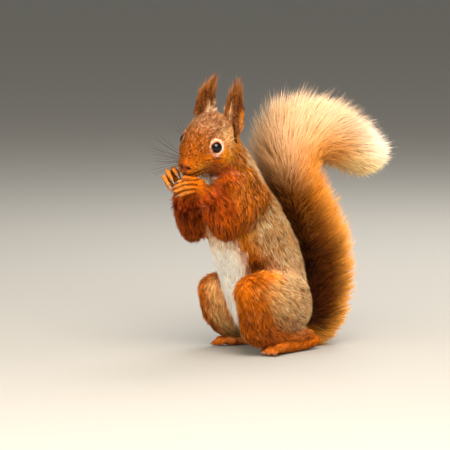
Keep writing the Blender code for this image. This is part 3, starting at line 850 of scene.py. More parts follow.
def grizzled(at):
    """How much pale and dark hair tips mix: most on crown, back and thighs, none on belly and hands."""
    x, y, z = at.points.T
    turn = at.round_trunk()
    trunk = ramp(turn, 45, 80) * (1 - 0.5 * ramp(z, 96, 112)) * (1 - 0.8 * groin(at, turn))
    thigh = (1 - 0.85 * ramp(-y, 18, 40)) * ramp(np.sign(x) * at.normals[:, 0], -0.2, 0.4)
    head = 0.5 * (0.6 + 0.4 * ramp(-at.ahead, -4, 8)) * (0.4 + 0.6 * ramp(at.up, -4, 4))
    return (
        trunk * at.weight("trunk") + thigh * at.weight("thigh") + head * at.weight("head")
        + 0.25 * at.weight("shank", "upper_arm") + 0.15 * at.weight("forearm", "ear")
    )


# ---------------------------------------------------------------- the short coat


def lie_of(at):
    """The way the hair lies: each part's own line, pressed onto the skin.

    It hangs on arms and thighs and turns away from the eyes, and each lock has a random twist.
    """
    n = at.points.shape[0]
    way = np.zeros((n, 3))
    outer = ramp(np.sign(at.points[:, 0]) * at.normals[:, 0], -0.45, 0.2)
    to_side = LEFT * np.sign(at.side)[:, None]
    for i, name in enumerate(PARTS):
        own = at.ways[:, i]
        if name == "head":
            own = -AHEAD * 0.9 - UP * 0.45 * ramp(-at.up, 2, 12)[:, None] + to_side * 0.25
        elif name.startswith("upper_arm"):
            own = own * 0.7 + vec(0, 0.1, -0.8)
        elif name.startswith("forearm"):
            own = mix(vec(0, 0.25, -0.9), own, ramp(at.shares[:, i], 0.45, 0.95))
        elif name.startswith("thigh"):
            own = mix(vec(0, -0.45, -0.8), vec(0, 0.7, -0.75), outer)
        elif name == "trunk":
            own = own + vec(0, 0, -0.35)
        way += own * at.weights[:, i : i + 1]
    for s in (1, -1):
        away = at.points - EYES[s]
        near = 1 - ramp(np.linalg.norm(away, axis=1), 5.5, 9)
        away = away - np.outer(away @ GAZE[s], GAZE[s])
        way = mix(way, unit(away) + unit(way) * 0.4, near)
    way = unit(way)
    way = unit(way - at.normals * dot(way, at.normals))
    twist = 0.10 * wander(at.points, 12) + 0.08 * wander(at.points, 5, 8) + CHANCE.normal(0, 0.10, n)
    return way * np.cos(twist)[:, None] + np.cross(at.normals, way) * np.sin(twist)[:, None]


def coat_measures(at):
    """Length in millimetres and tilt in radians of the hair at each place."""
    ring, far = at.eye_gap()
    head = 2.0 + 1.8 * ramp(-at.ahead, -2, 20) + 2.6 * ramp(-at.up, 7, 17) * ramp(-at.ahead, -6, 4)
    own = {
        "head": head - 0.8 * ramp(at.ahead, 8, 15),
        "trunk": 4.0 + 0.8 * ramp(at.round_trunk(), 90, 150),
        "upper_arm": 5.4,
        "forearm": 5.2 - 2.2 * ramp(at.along("forearm"), 0.7, 1.0),
        "hand": 0.9,
        "thigh": 4.0 + 0.9 * ramp(-at.points[:, 2], -40, -18),
        "shank": 5.0 - 2.2 * ramp(at.along("shank"), 0.8, 1),
        "foot": 1.4, "ear": 2.4, "tail": 9,
    }
    lengths = sum(long * at.weight(part) for part, long in own.items())
    lengths = np.minimum(lengths, 0.8 + 0.5 * ear_gap(at.points, at.normals).clip(0))
    lengths = np.where(far < 8, np.minimum(lengths, 1.0 + 1.8 * ramp(ring, 4.6, 7.5)), lengths)
    tilt = 0.24 * at.weight("hand", "foot", "ear") + 0.34 * at.weight("head", "trunk", "upper_arm", "tail")
    return lengths, tilt + 0.27 * at.weight("forearm", "shank", "thigh")


DENSITY = (  # locks of a full coat on each square millimetre of these parts
    (2.1, "head"), (0.95, "trunk"), (0.9, "upper_arm", "forearm"), (1.05, "thigh", "shank"),
    (1.3, "hand", "foot"), (1.6, "ear"), (0.4, "tail"),
)


def bare_places(at):
    """Where no lock stands: eyes, nose, mouth, nostrils, ear canals, soles, and the tail past its root."""
    ring, far = at.eye_gap()
    from_nose = np.linalg.norm(at.points - NOSE, axis=1)
    along_tail = at.shares[:, PARTS.index("tail")]
    mouth, _, nostril = face_lines(at.points)
    bare = ((far < 9) & (ring < 4.3)) | (from_nose < 3.3) | (mouth > 0.35) | (nostril > 0.3)
    bare = bare | (at.points[:, 2] < 0.6) | (ear_gap(at.points, at.normals) < 0.3)
    return bare | ((at.weight("tail") > 0.5) & (along_tail > 0.08))


def scatter(skin_points, faces, normals):
    """Roots of the short coat's locks, spread over the skin at random.

    A triangle's chance is its area times its density. A root is p + (q - p) a + (r - p) b in the triangle
    p, q, r, with a and b from 0 to 1, each turned to 1 less itself where they add up to more than 1.
    """
    corners = skin_points[faces]
    area = np.linalg.norm(np.cross(corners[:, 1] - corners[:, 0], corners[:, 2] - corners[:, 0]), axis=1)
    middle = Places(corners.mean(1), unit(normals[faces].mean(1)))
    need = sum(locks * middle.weight(*parts) for locks, *parts in DENSITY)
    wanted = area * need * ~bare_places(middle)
    count = int(wanted.sum() * COAT_SHARE)
    chosen = CHANCE.choice(len(faces), count, p=wanted / wanted.sum())
    a, b = CHANCE.random((2, count, 1))
    a, b = np.where(a + b > 1, 1 - a, a), np.where(a + b > 1, 1 - b, b)
    spots, slopes = (
        rows[:, 0] * (1 - a - b) + rows[:, 1] * a + rows[:, 2] * b
        for rows in (corners[chosen], normals[faces][chosen])
    )
    return Places(spots, unit(slopes))


def bowed(root, control, tip, shares):
    """Knots of hairs on the curve root (1 - t)^2 + 2 control t (1 - t) + tip t^2, at these shares t."""
    t = np.array(shares)[None, :, None]
    return root[:, None] * (1 - t) ** 2 + 2 * control[:, None] * t * (1 - t) + tip[:, None] * t**2


def hair_triangles(rings):
    """Triangles of one hair: its closed root, its sides from ring to ring and its sides up to the tip."""
    k = np.arange(3)
    j = (k + 1) % 3
    triangles = [(2, 1, 0)]
    for i in range(rings - 1):
        for a, b in zip(3 * i + k, 3 * i + j):
            triangles += [(a, b, b + 3), (a, b + 3, a + 3)]
    triangles += [(a, b, 3 * rings) for a, b in zip(3 * (rings - 1) + k, 3 * (rings - 1) + j)]
    return np.array(triangles)


def keep_colours(mesh, name, colours):
    """Writes a colour for each point into this attribute of the mesh, as (red, green, blue, 1)."""
    full = np.ones((len(colours), 4), np.float32)
    full[:, :3] = colours
    mesh.attributes.new(name, "FLOAT_COLOR", "POINT").data.foreach_set("color", full.ravel())


def hair_piece(name, spine, radius, tint, up, chart, flat, soft):
    """Closed three-sided hairs as one object.

    spine is (hairs, knots, 3) and its last knot is the tip. The corners of a ring are
    knot + across * r cos t + raised * r flat sin t, where raised is the side nearest to up. tint is a colour
    for each knot, chart the root's place on the unwrap, and soft the share of up in the shading normal.
    """
    count, knots = spine.shape[:2]
    rings = knots - 1
    along = unit(np.diff(spine, axis=1))
    across = unit(np.cross(along, up[:, None, :]))
    raised = np.cross(across, along)
    turn = (np.arange(3) * 2 * math.pi / 3 + math.pi / 2)[None, None, :, None]
    spoke = across[:, :, None] * np.cos(turn) + raised[:, :, None] * np.sin(turn) * flat
    corners = spine[:, :rings, None] + spoke * radius[:, :, None, None]
    points = np.concatenate([corners.reshape(count, rings * 3, 3), spine[:, -1:]], 1)
    points[..., 2] = np.maximum(points[..., 2], HAIR_LOWEST)
    pattern = hair_triangles(rings)
    one = points[0][pattern] - points[0, 0]
    if (np.cross(one[:, 0], one[:, 1]) * one[:, 2]).sum() < 0:
        pattern = pattern[:, ::-1]
    size = points.shape[1]
    faces = (pattern[None] + (np.arange(count) * size)[:, None, None]).reshape(-1, 3)
    obj = mesh_object(name, points.reshape(-1, 3), faces)
    mesh = obj.data
    slope = np.concatenate([spoke.reshape(count, rings * 3, 3), unit(spine[:, -1:] - spine[:, -2:-1])], 1)
    shade = unit(up[:, None] * soft + slope * (1 - soft))
    mesh.normals_split_custom_set_from_vertices(shade.reshape(-1, 3).astype(np.float32))
    knot = np.append(np.repeat(np.arange(rings), 3), rings)
    keep_colours(mesh, "hair_colour", tint[:, knot].reshape(-1, 3))
    lean = np.append(np.tile([0, -0.87, 0.87], rings), 0)  # a ring's corners lie side by side on its patch
    patch = np.stack([lean * PATCH / 2, (knot / rings - 0.5) * PATCH], 1)
    unwrap = (chart[:, None] + patch[None]).reshape(-1, 2)[faces.ravel()]
    mesh.uv_layers.new(name="OFBake").data.foreach_set("uv", unwrap.astype(np.float32).ravel())
    return obj


def tufts(points):
    """Which tuft each lock belongs to: the nearest of the first locks, one in TUFT of them all."""
    count = len(points) // TUFT
    tree = KDTree(count)
    for i in range(count):
        tree.insert(points[i], i)
    tree.balance()
    return np.array([tree.find(spot)[1] for spot in points])


def short_tint(at, tuft, grey):
    """Colours of each lock at root and tip.

    The marking is lightened and darkened from tuft to tuft and lock to lock. Its root is darker, partly its
    own darker base and partly painted shade deep in the coat, and grizzled hair has pale and dark tips.
    """
    locks = len(at.points)
    base = markings(at)
    bright = base.mean(1)
    rough = (
        0.44 + 0.06 * at.weight("head") + 0.16 * at.weight("upper_arm", "forearm")
        - 0.24 * at.weight("hand", "foot") - 0.32 * ramp(bright, 0.36, 0.6)
    )
    fine = at.weight("head", "trunk")
    lone = (0.8 + 0.15 * fine) * CHANCE.normal(0, 1, locks)
    shared = (0.6 - 0.35 * fine) * CHANCE.normal(0, 1, locks)[tuft]
    tone = (1 + rough * (lone + shared) + 0.10 * wander(at.points, 2.5, 16)).clip(0.3, 2.0)
    spread = (0.25 + grey) * CHANCE.normal(0, 1.0, locks)
    pale = mix(base * 1.4, pelt("#f0d6b4"), 0.75 * grey.clip(0, 1))
    tip = mix(base, pale, 0.8 * ramp(spread, 0.25, 1.1))
    tip = mix(tip, base * vec(0.30, 0.24, 0.20), 0.85 * ramp(-spread, 0.3, 1.1))
    # roots darker than tips: the hair's own darker base together with painted shade deep in the coat
    return np.stack([base * mix(0.20, 0.94, ramp(bright, 0.2, 0.66)), tip * 1.25], 1), tone


def short_coat(at):
    """Spines, radii and colours of the short hair, HAIRS to a lock, and the lock of each hair.

    A hair is a straight cone from its root, tilted up from the way the coat lies. The tips of a lock, and of
    a tuft, are drawn together.
    """
    locks = len(at.points)
    way = lie_of(at)
    length, tilt = coat_measures(at)
    length = length * (1 + 0.12 * wander(at.points, 4, 4) + CHANCE.normal(0, 0.08, locks)).clip(0.6, 1.4)
    tilt = tilt * (1 + 0.25 * wander(at.points, 6, 12) + CHANCE.normal(0, 0.3, locks)).clip(0.25, 2.0)
    beside = np.cross(at.normals, way)
    hair = np.repeat(np.arange(locks), HAIRS)
    count = len(hair)
    off_side = CHANCE.normal(0, 1, count) * (0.18 + 0.058 * length[hair])
    off_way = CHANCE.normal(0, 1, count) * 0.14 * length[hair]
    own = length[hair] * CHANCE.normal(1, 0.12, count).clip(0.6, 1.3)
    turn = (tilt[hair] + CHANCE.normal(0, 0.06, count)) * 0.85
    normal, lie = at.normals[hair], way[hair]
    sunk = normal * (0.05 + 0.02 * own)[:, None]
    root = at.points[hair] - sunk + beside[hair] * off_side[:, None] + lie * off_way[:, None]
    gather = 0.35 + 0.4 * at.weight("upper_arm", "forearm") + 0.15 * at.weight("thigh", "shank")
    drift = beside[hair] * (-gather[hair] * off_side + CHANCE.normal(0, 0.03, count) * own)[:, None]
    tuft, grey = tufts(at.points), grizzled(at)
    limbs = at.weight("upper_arm", "forearm", "thigh", "shank") * (1 - 0.5 * grey.clip(0, 1))
    pull = (at.points[tuft] - at.points) * (0.25 - 0.12 * at.weight("head", "trunk") + 0.4 * limbs)[:, None]
    drift = drift + beside[hair] * dot(pull, beside)[hair]
    raised = lie * np.cos(turn)[:, None] + normal * np.sin(turn)[:, None]
    spine = np.stack([root, root + raised * own[:, None] + drift], 1)
    tint, tone = short_tint(at, tuft, grey)
    tint = tint[hair] * (tone[hair] * CHANCE.normal(1, 0.12, count))[:, None, None]
    return spine, (0.09 + 0.028 * own)[:, None], tint.clip(0.002, 0.95), hair


LIMBS = {  # which parts' hair each of these pieces holds
    "arm": ("upper_arm", "forearm"), "leg": ("thigh", "shank"), "hand": ("hand",), "foot": ("foot",),
    "ear": ("ear",),
}


def coat_pieces(skin):
    """The short coat, cut into pieces by part and side."""
    at = scatter(*arrays_of(skin))
    spine, radius, tint, hair = short_coat(at)
    name = np.array(PARTS)[at.part]
    head, trunk = name == "head", name == "trunk"
    face, front, left = at.ahead > -8, at.round_trunk() < 78, at.points[:, 0] >= 0
    groups = {
        "face_fur": head & face, "crown_fur": head & ~face, "belly_fur": trunk & front,
        "back_fur_left": trunk & ~front & left, "back_fur_right": trunk & ~front & ~left,
        "rump_fur": name == "tail",
    }
    for side in SIDES.values():
        for limb, parts in LIMBS.items():
            groups[f"{limb}_fur_{side}"] = np.isin(name, [f"{part}_{side}" for part in parts])
    for piece, mask in groups.items():
        chosen = mask[hair]
        lock = hair[chosen]
        hairs = spine[chosen], radius[chosen], tint[chosen], at.normals[lock], at.chart[lock]
        obj = hair_piece(piece, *hairs, flat=0.55, soft=0.42)
        finish_piece(obj, SHORT_FUR)


# ---------------------------------------------------------------- the long hair of tail and ears


# the second brown tone, on the lower tail's side next to the animal's back, is near black: painted shade
# between back and tail over darker hair
TAIL_TONES = (  # at root, middle and tip of a hair: brown, blond and end, each inside and outside, and amber
    (("#843c0c", "#0c0301"), ("#9c4e0c", "#a8662c"), ("#e89a3c", "#e4bc94"), "#703206"),
    (("#bc7628", "#180902"), ("#cc7820", "#c4965e"), ("#ffcc84", "#f2d8ba"), "#a05616"),
    (("#e0a45c", "#4c2406"), ("#f0b068", "#ccb298"), ("#ffe2b4", "#f2e0ca"), "#d28e44"),
)
TAIL_CUTS = {  # first row, last row and slot of each piece
    "tail_fur_root": (0, 3.2, "tail_brown"), "tail_fur_middle": (3.2, 6.2, "tail_brown"),
    "tail_fur_bend": (6.2, 8.8, "tail_blond"), "tail_fur_end": (8.8, FAR, "tail_blond"),
}
ROW_STEPS = 8  # steps between two rows of the tail


def tail_tint(row, outward, depth):
    """Tail colour at a row, a side (1 out of the bend, -1 inside it) and a depth (0 root, 1 tip)."""
    outer, back_side = ramp(outward, -0.75, 0.35), ramp(outward, -0.2, 0.75)
    ripe, last = ramp(row, 5.0, 7.2), ramp(row, 8.5, 11)
    band = bell(row, 5.4, 1.5) * (1 - 0.7 * back_side)
    tones = []
    for brown, blond, end, amber in TAIL_TONES:
        # where back_side is 1 the brown is near black: painted shade cast by the back on the tail
        tone = mix(between(*brown, back_side), between(*blond, outer), ripe)
        tones.append(mix(mix(tone, between(*end, outer), last), pelt(amber), 0.8 * band))
    return mix(mix(tones[0], tones[1], ramp(depth, 0.0, 0.5)), tones[2], ramp(depth, 0.5, 1.0))


def swept(angle, row):
    """The lower tail's side hair leans to the rear: angle - 0.6 cos(angle), or its mirror on the right."""
    sign = np.where(np.abs(angle) < math.pi / 2, 1, -1)
    return angle - sign * 0.6 * np.abs(np.cos(angle)) * (1 - ramp(row, 4.5, 6.5))


def tail_reaches(lock_row, lone):
    """How far each lock reaches, 1 at the plume's surface: some stay short, and lone wisps pass it."""
    locks = len(lock_row)
    chance = CHANCE.random(locks)
    inner, usual = CHANCE.uniform(0.6, 0.85, locks), CHANCE.uniform(0.8, 1.02, locks)
    reach = np.where(chance < 0.25, inner, usual)
    reach = np.where(chance > 0.9, CHANCE.uniform(1.0, 1.1, locks), reach)
    wisp = CHANCE.uniform(0.98, 1.0, locks) + CHANCE.uniform(0, 0.18, locks)
    wisp = wisp + 0.18 * CHANCE.random(locks) * ramp(lock_row, 5.5, 7.5)
    return np.where(lone, wisp, reach)


def tail_coat():
    """Long hair from the tail's bone to its plume, gathered in locks, with loose wisps between them."""
    bone, plume, width, depth, along, out = tail_bone(ROW_STEPS)
    rows = np.arange(len(bone)) / ROW_STEPS
    plume_way = unit(np.gradient(plume, axis=0))
    plume_out = np.cross(vec(1, 0, 0), plume_way)
    per_row = np.linalg.norm(np.gradient(plume, rows, axis=0), axis=1)
    cap_way, cap = unit(plume_way[-1] + vec(0, 0.35, 0.30)), 12.0  # the round end past the last row

    def at_row(values, row):
        """These values between the rows of the tail."""
        return np.stack([np.interp(row, rows, values[:, i]) for i in range(3)], 1)

    def tip_of(start, angle, reach, forward):
        """Place on the plume this far along from a row, and past its last row on a round end."""
        end = start + forward / np.interp(start, rows, per_row)
        over = np.clip(end - rows[-1], 0, None) * per_row[-1]
        shrink = np.clip(1 - (over / cap) ** 2, 0.0, 1) ** 0.42
        end = np.minimum(end, rows[-1])
        middle = at_row(plume, end) + cap_way * np.minimum(over, cap)[:, None]
        wide = np.interp(end, rows, width)
        deep = np.interp(end, rows, depth) * (1 + 0.30 * bell(end, 8.6, 1) * (np.sin(angle) < 0))
        across = vec(1, 0, 0) * (np.cos(angle) * wide * reach * shrink)[:, None]
        return middle + (across + at_row(plume_out, end) * (np.sin(angle) * deep * reach * shrink)[:, None])

    locks = TAIL_LOCKS + TAIL_WISPS
    lone = np.arange(locks) >= TAIL_LOCKS
    lock_row = CHANCE.uniform(0.0, rows[-1] + 0.15, locks)
    upper_row = CHANCE.uniform(4.5, rows[-1] + 0.1, locks)
    lock_row = np.where(lone & (np.arange(locks) % 2 == 0), upper_row, lock_row)
    lock_turn = CHANCE.uniform(-math.pi, math.pi, locks)
    lock_reach = tail_reaches(lock_row, lone)
    lock_tone = CHANCE.normal(1, 0.12, locks)
    lock = np.concatenate([np.repeat(np.arange(TAIL_LOCKS), TAIL_HAIRS), np.arange(TAIL_LOCKS, locks)])
    count = len(lock)
    row = np.clip(lock_row[lock] + CHANCE.normal(0, 0.13, count), 0, rows[-1])
    turn = lock_turn[lock] + CHANCE.normal(0, 0.16, count)
    forward = np.interp(lock_row, [0, 1, 2, 6, 9, 12], [5, 6, 8, 16, 17, 12])
    forward = forward * CHANCE.uniform(0.75, 1.3, locks)
    lock_tip = tip_of(lock_row, swept(lock_turn, lock_row), lock_reach, forward)
    reach = lock_reach[lock] * CHANCE.normal(1.0, 0.05, count).clip(0.7, 1.06)
    own_tip = tip_of(row, swept(turn, row), reach, forward[lock] * CHANCE.uniform(0.85, 1.15, count))
    tip = mix(own_tip, lock_tip[lock], CHANCE.uniform(0.12, 0.5, count))
    girth = np.interp(row, [0, 2, 6, 12], [7.5, 5.5, 3.6, 1.6])
    ahead = at_row(along, row)
    radial = vec(1, 0, 0) * np.cos(turn)[:, None] + at_row(out, row) * np.sin(turn)[:, None]
    root = at_row(bone, row) + radial * girth[:, None]
    sway = CHANCE.normal(0, 0.05, locks)[lock] + CHANCE.normal(0, 0.03, count)
    bend = radial * 0.16 - ahead * 0.06 + unit(np.cross(radial, ahead)) * sway[:, None]
    control = root + (tip - root) * 0.5 + bend * np.linalg.norm(tip - root, axis=1, keepdims=True)
    shares = (0, 0.4, 0.75, 1.0)
    spine = bowed(root, control, tip, shares)
    thick = np.where(lone[lock], 0.16, 0.27)[:, None] * CHANCE.uniform(0.75, 1.2, (count, 1))
    radius = thick * np.array([0.75, 1.0, 0.7])
    reached = 0.75 + 0.25 * np.clip(np.linalg.norm(own_tip - at_row(plume, row), axis=1) / 30, 0, 1)
    tone = (lock_tone[lock] * CHANCE.normal(1, 0.08, count)).clip(0.55, 1.4)
    tint = np.stack([tail_tint(row, np.sin(turn), share * reached) for share in shares], 1)
    tint = (tint * tone[:, None, None]).clip(0, 1)
    chart = on_chart(np.array(CHARTS["tail"]), (turn / (2 * math.pi) + 0.5) % 1, row / rows[-1])
    up = unit(radial + ahead * 0.2)
    for name, (start, stop, slot) in TAIL_CUTS.items():
        mask = (row >= start) & (row < stop)
        hairs = (values[mask] for values in (spine, radius, tint, up, chart))
        finish_piece(hair_piece(name, *hairs, flat=0.7, soft=0.6), LONG_FUR)


def ear_tuft(s):
    """Long hair from the rim and back of an ear's upper half that thins to a wispy point."""
    count = EAR_HAIRS
    root, axis, across, toward = ear_axes(s)
    rise = 4 + 22 * CHANCE.random(count) ** 0.6
    edge = np.interp(rise, [0, 8, 15, 21, 26], [5.2, 6.5, 6.6, 5.2, 2.6])
    spot = CHANCE.uniform(-1, 1, count)
    spot = np.where(rise < 17, -np.abs(spot) ** 0.3, spot)
    start = root + axis * rise[:, None] + across * (edge * spot)[:, None]
    start = start + toward * (2.2 * spot**2 - 1.5)[:, None]
    lock = np.round(spot * 3 + CHANCE.normal(0, 0.35, count)) / 3
    length = CHANCE.uniform(7, 17, count) * np.interp(rise, [4, 12, 17, 25], [0.4, 0.7, 0.9, 1.05])
    sideways, backwards = lock * 0.06 + CHANCE.normal(0, 0.09, count), 0.10 + CHANCE.normal(0, 0.08, count)
    way = unit(axis + (across * sideways[:, None] - toward * backwards[:, None]))
    drawn = {1: 0.55, -1: 0.22}[s]
    tip = start + way * length[:, None] - across * (edge * spot * drawn * (length / 14))[:, None]
    over = (tip - root) @ axis - TUFT_TOP + 9 * np.abs(spot - 0.25) ** 1.5 - CHANCE.normal(0, 1.6, count)
    tip = tip - axis * np.maximum(over, 0)[:, None] * 0.9
    control = (start + tip) / 2 + across * (spot * 0.06 * length)[:, None] - toward * (0.04 * length)[:, None]
    shares = np.array([0, 0.28, 0.55, 0.8, 1.0])
    radius = 0.14 * CHANCE.uniform(0.7, 1.2, (count, 1)) * np.array([0.8, 1.0, 0.8, 0.5])
    dark, light = between("#241009", "#54301a", shares), between("#643414", "#a46c3c", shares)
    pale = ramp(CHANCE.normal(0.42, 0.34, count) + 0.35 * wander(start, 1.8, 4), 0, 1)
    tint = mix(dark[None], light[None], pale[:, None, None]).clip(0, 0.95)
    corners = np.array(CHARTS[f"ear_{SIDES[s]}"])
    chart = on_chart(corners, (spot * 0.24 + 0.25).clip(0, 1), (rise / 26).clip(0, 1))
    facing = np.tile(unit(axis * 0.3 + LEFT * s * 0.5 + toward * 0.6), (count, 1))
    spine = bowed(start, control, tip, shares)
    obj = hair_piece(f"ear_tuft_{SIDES[s]}", spine, radius, tint, facing, chart, flat=0.7, soft=0.45)
    finish_piece(obj, LONG_FUR)


# ---------------------------------------------------------------- eyes, claws and whiskers


def make_eye(s):
    """A round eye whose clear front stands about 1.5 mm out of the lids."""
    points, faces = ball(EYES[s], (EYE_RADIUS,) * 3, around=64)
    obj = mesh_object(f"eyeball_{SIDES[s]}", points, faces)
    finish_piece(obj, EYE)
    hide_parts(f"eye_{SIDES[s]}")


def claw(start, way, down, length, thick):
    """A tapered hook from start, bent towards down."""
    middle = start + way * length * 0.55 + down * length * 0.06
    tip = start + way * length + down * length * 0.38
    root = (*(start - way * 0.8), thick, thick * 1.15)
    stations = [root, (*middle, thick * 0.72, thick * 0.9), (*tip, 0.07, 0.09)]
    return tube(stations, (1, 0.2, 0.1), around=12, steps=6)


def make_claws(s):
    """Four claws of a hand and five of a foot."""
    hand = []
    for bones in FINGERS[s]:
        _, bend, tip = (vec(*bone) for bone in bones)
        way, down = unit(tip - bend), unit(vec(-s * 0.5, 0.4, -0.7))
        hand.append(claw(tip + way * 0.2 + vec(-s * 0.3, -0.3, 0.3), way, down, length=3.2, thick=0.55))
    foot = []
    for _, joint, tip in toes(s):
        way = unit((tip - joint) * (1, 1, 0))
        foot.append(claw(tip + vec(0, 0, 0.5), way, vec(0, 0, -1), length=2.9, thick=0.6))
    for name, hooks in (("hand", hand), ("foot", foot)):
        points, faces = join(hooks)
        points[:, 2] = np.maximum(points[:, 2], HAIR_LOWEST)
        finish_piece(mesh_object(f"{name}_claws_{SIDES[s]}", points, faces), CLAW)


def make_whiskers(s):
    """Long stiff hairs from the pad beside the nose, in four rows, and a few over the eye."""
    hairs = []
    for line in range(4):
        for n in range(5):
            start = on_head(s * (5.4 + 0.55 * n), 16.5 - 1.5 * n, -6.0 - 1.5 * line)
            fan = LEFT * s * (0.62 + 0.09 * n) + AHEAD * (0.66 - 0.20 * n) + UP * (0.34 - 0.22 * line)
            way = unit(fan + CHANCE.normal(0, 0.05, 3))
            length = (22 + 2.2 * n) * CHANCE.uniform(0.8, 1.08)
            bend = unit(-AHEAD - UP * 0.5) * length * 0.16
            middle, tip = start + way * length * 0.5 + bend * 0.2, start + way * length + bend
            stations = [(*start, 0.13, 0.13), (*middle, 0.10, 0.10), (*tip, 0.04, 0.04)]
            hairs.append(tube(stations, (0.3, 0.2, 1), around=5, steps=5))
    for n in range(3):
        start = on_head(s * 9.5, 5.5 - 1.4 * n, 6.2)
        way = unit(LEFT * s * 0.5 + AHEAD * (0.35 - 0.3 * n) + UP * 0.8)
        middle, tip = start + way * 7, start + way * 13 - AHEAD * 3
        stations = [(*start, 0.1, 0.1), (*middle, 0.07, 0.07), (*tip, 0.03, 0.03)]
        hairs.append(tube(stations, (0.3, 1, 0), around=5, steps=4))
    finish_piece(mesh_object(f"whiskers_{SIDES[s]}", *join(hairs)), WHISKER)


# ---------------------------------------------------------------- materials


def add(material, kind, inputs=None, **settings):
    """A new node of this kind, its settings and the values or links of its inputs."""
    node = material.node_tree.nodes.new(kind)
    for key, value in settings.items():
        setattr(node, key, value)
    for key, value in (inputs or {}).items():
        if isinstance(value, bpy.types.NodeSocket):
            material.node_tree.links.new(value, node.inputs[key])
        else:
            node.inputs[key].default_value = value
    return node


def new_material(name, **values):
    """A Principled material with these values on the shader's own sockets."""
    material = bpy.data.materials.new(name)
    material.use_nodes = True
    shader = material.node_tree.nodes["Principled BSDF"]
    for key, value in values.items():
        shader.inputs[key.replace("_", " ")].default_value = value
    return material, shader


def rgba(hexadecimal):
    """A linear colour as a socket takes it, fully opaque."""
    return (*colour(hexadecimal), 1.0)


def grain(material, grains, detail=2.0, roughness=0.5):
    """Noise through the piece itself, with this many grains in 10 mm."""
    place = add(material, "ShaderNodeTexCoord")
    noise = add(material, "ShaderNodeTexNoise", {
        "Vector": place.outputs["Object"], "Scale": grains / (10 * MM), "Detail": detail,
        "Roughness": roughness,
    })
    return noise.outputs["Fac"]


def speckled(name, grains, detail, dark, light, **values):
    """A material whose colour wanders between a dark and a light tone from grain to grain."""
    material, shader = new_material(name, **values)
    tones = add(material, "ShaderNodeValToRGB", {"Fac": grain(material, grains, detail)})
    tones.color_ramp.elements[0].color, tones.color_ramp.elements[1].color = rgba(dark), rgba(light)
    material.node_tree.links.new(tones.outputs["Color"], shader.inputs["Base Color"])
    return material


def marked(name, attribute, **values):
    """A material coloured by the markings that a mesh carries in this attribute."""
    material, shader = new_material(name, **values)
    paint = add(material, "ShaderNodeAttribute", attribute_name=attribute)
    material.node_tree.links.new(paint.outputs["Color"], shader.inputs["Base Color"])
    return material, shader


def fur_material(name, sheen, roughness):
    """Hair: a soft matt fibre with a faint bloom at grazing angles."""
    return marked(
        name, "hair_colour", Roughness=roughness, Specular_IOR_Level=0.08, Specular_Tint=rgba("#e0853a"),
        Sheen_Weight=sheen, Sheen_Roughness=0.45, Sheen_Tint=rgba("#ffd9a8"),
    )[0]


def skin_material():
    """Bare skin and underfur: the animal's markings, dull, with the grain of short flat hair, 14 to 10 mm."""
    material, shader = marked(
        "squirrel_skin", "skin_colour", Roughness=0.65, Specular_IOR_Level=0.12, Specular_Tint=rgba("#e8955a")
    )
    height = grain(material, grains=14, detail=4.0, roughness=0.65)
    bump = add(material, "ShaderNodeBump", {"Height": height, "Strength": 0.55, "Distance": 0.5 * MM})
    material.node_tree.links.new(bump.outputs["Normal"], shader.inputs["Normal"])
    return material


def eye_material():
    """A brown iris, almost black, that fills the opening, under a wet clear cornea."""
    gloss = {"Roughness": 0.03, "Specular_IOR_Level": 0.3}
    return speckled("squirrel_eye", grains=7, detail=3.0, dark="#030202", light="#0a0503", **gloss)


def claw_material():
    """Dark horn, paler in flecks, with a polish."""
    polish = {"Roughness": 0.24, "Specular_IOR_Level": 0.75, "Coat_Weight": 0.4}
    return speckled("squirrel_claw", grains=9, detail=2.0, dark="#3b2c26", light="#8d7d74", **polish)


def whisker_material():
    """Stiff dark whisker."""
    return speckled("squirrel_whisker", grains=3, detail=2.0, dark="#120a06", light="#3a2416", Roughness=0.35)


def floor_material():
    """Pale matt studio floor."""
    return new_material("studio_floor", Base_Color=rgba("#96938d"), Roughness=0.9)[0]


def finish_piece(obj, material):
    """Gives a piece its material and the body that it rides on."""
    obj.data.materials.append(material)
    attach(obj, "root")


def paint_skin(skin):
    """The coat's markings on the skin, darker where long hair covers it: painted shade of the coat over the
    skin.
    """
    points, _, normals = arrays_of(skin)
    at = Places(points, normals)
    length, _ = coat_measures(at)
    # painted shade: the skin darkens under longer hair
    coat_shade = mix(np.ones(3), vec(0.34, 0.28, 0.24), ramp(length, 1.0, 5.0))
    keep_colours(skin.data, "skin_colour", markings(at) * coat_shade)


# ---------------------------------------------------------------- studio
# the camera's own directions
RIGHTWARD, UPWARD, BACKWARD = vec(0.574, 0.819, 0), vec(-0.0856, 0.0600, 0.9945), vec(0.8147, -0.5704, 0.1045)
LOOK_AT, LAMPS_FACE = vec(-30.5, -28.4, 82.5), vec(0, 0, 90)
LENS, DISTANCE = 300.0, 2550.0
FLOOR_SIDE = 6000


def set_up(obj, backward):
    """Puts a lamp or a camera into the scene with its back this way."""
    obj.rotation_euler = Vector(-backward).to_track_quat("-Z", "Y").to_euler()
    bpy.context.scene.collection.objects.link(obj)


def lamp(name, place, size, power, tone="#ffffff", mirrored=False):
    """A square soft light that faces the middle of the animal. Only a mirrored one shows in the eyes."""
    light = bpy.data.lights.new(name, "AREA")
    light.size, light.energy, light.color = size * MM, power, tuple(colour(tone))
    obj = bpy.data.objects.new(name, light)
    obj.location = (LAMPS_FACE + place) * MM
    obj.visible_glossy = mirrored
    set_up(obj, place)


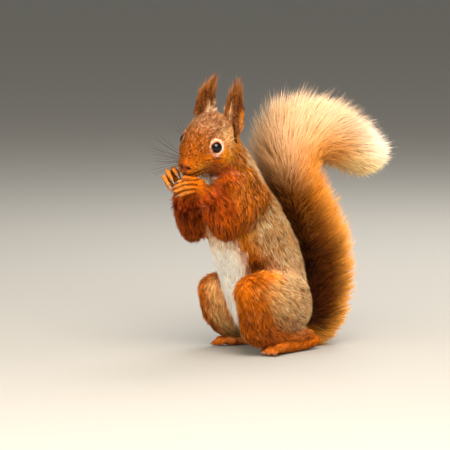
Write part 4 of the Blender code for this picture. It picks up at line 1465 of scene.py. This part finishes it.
def make_studio():
    """A pale floor and sky, five soft lamps and a long lens.

    The key stands in front, above the camera's line and a little to its right, the fill at the right, and the
    low lamp in front at the left. The sky lamp is overhead, and the rim lamp behind the animal.
    """
    corners = np.array([(-1, -1, 0), (1, -1, 0), (1, 1, 0), (-1, 1, 0)], float) * FLOOR_SIDE
    floor = mesh_object("studio_floor", corners, np.array([(0, 1, 2), (0, 2, 3)]), smooth=False)
    floor.data.materials.append(floor_material())
    world = bpy.data.worlds.new("studio")
    world.use_nodes = True
    world.node_tree.nodes["Background"].inputs["Color"].default_value = rgba("#e8e6e0")
    world.node_tree.nodes["Background"].inputs["Strength"].default_value = 0.42
    bpy.context.scene.world = world
    key = BACKWARD * 850 + RIGHTWARD * 180 + UPWARD * 560
    fill = -BACKWARD * 50 + RIGHTWARD * 1250 + UPWARD * 450
    lamp("key", key, size=760, power=24, tone="#fff4e6", mirrored=True)
    lamp("fill", fill, size=1300, power=14, tone="#fff8f0")
    lamp("low", BACKWARD * 800 - RIGHTWARD * 650 + UPWARD * 20, size=900, power=18, tone="#fff2e4")
    lamp("sky", BACKWARD * 350 + UPWARD * 1500, size=1300, power=9)
    lamp("rim", -BACKWARD * 600 + RIGHTWARD * 300 + UPWARD * 900, size=600, power=12)
    camera = bpy.data.cameras.new("camera")
    camera.lens, camera.sensor_width = LENS, 36
    camera.clip_start, camera.clip_end = 0.1, 20
    obj = bpy.data.objects.new("camera", camera)
    obj.location = (LOOK_AT + BACKWARD * DISTANCE) * MM
    set_up(obj, BACKWARD)
    bpy.context.scene.camera = obj
    bpy.context.scene.view_settings.view_transform = "Standard"


SHORT_FUR = fur_material("squirrel_short_fur", 0.02, 0.7)
LONG_FUR = fur_material("squirrel_long_fur", 0.08, 0.55)
EYE, CLAW, WHISKER = eye_material(), claw_material(), whisker_material()

skin_object = make_skin()
paint_skin(skin_object)
finish_piece(skin_object, skin_material())
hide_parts(*[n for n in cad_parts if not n.startswith("eye")])
coat_pieces(skin_object)
tail_coat()
for body_side in (1, -1):
    ear_tuft(body_side)
    make_eye(body_side)
    make_claws(body_side)
    make_whiskers(body_side)
make_studio()
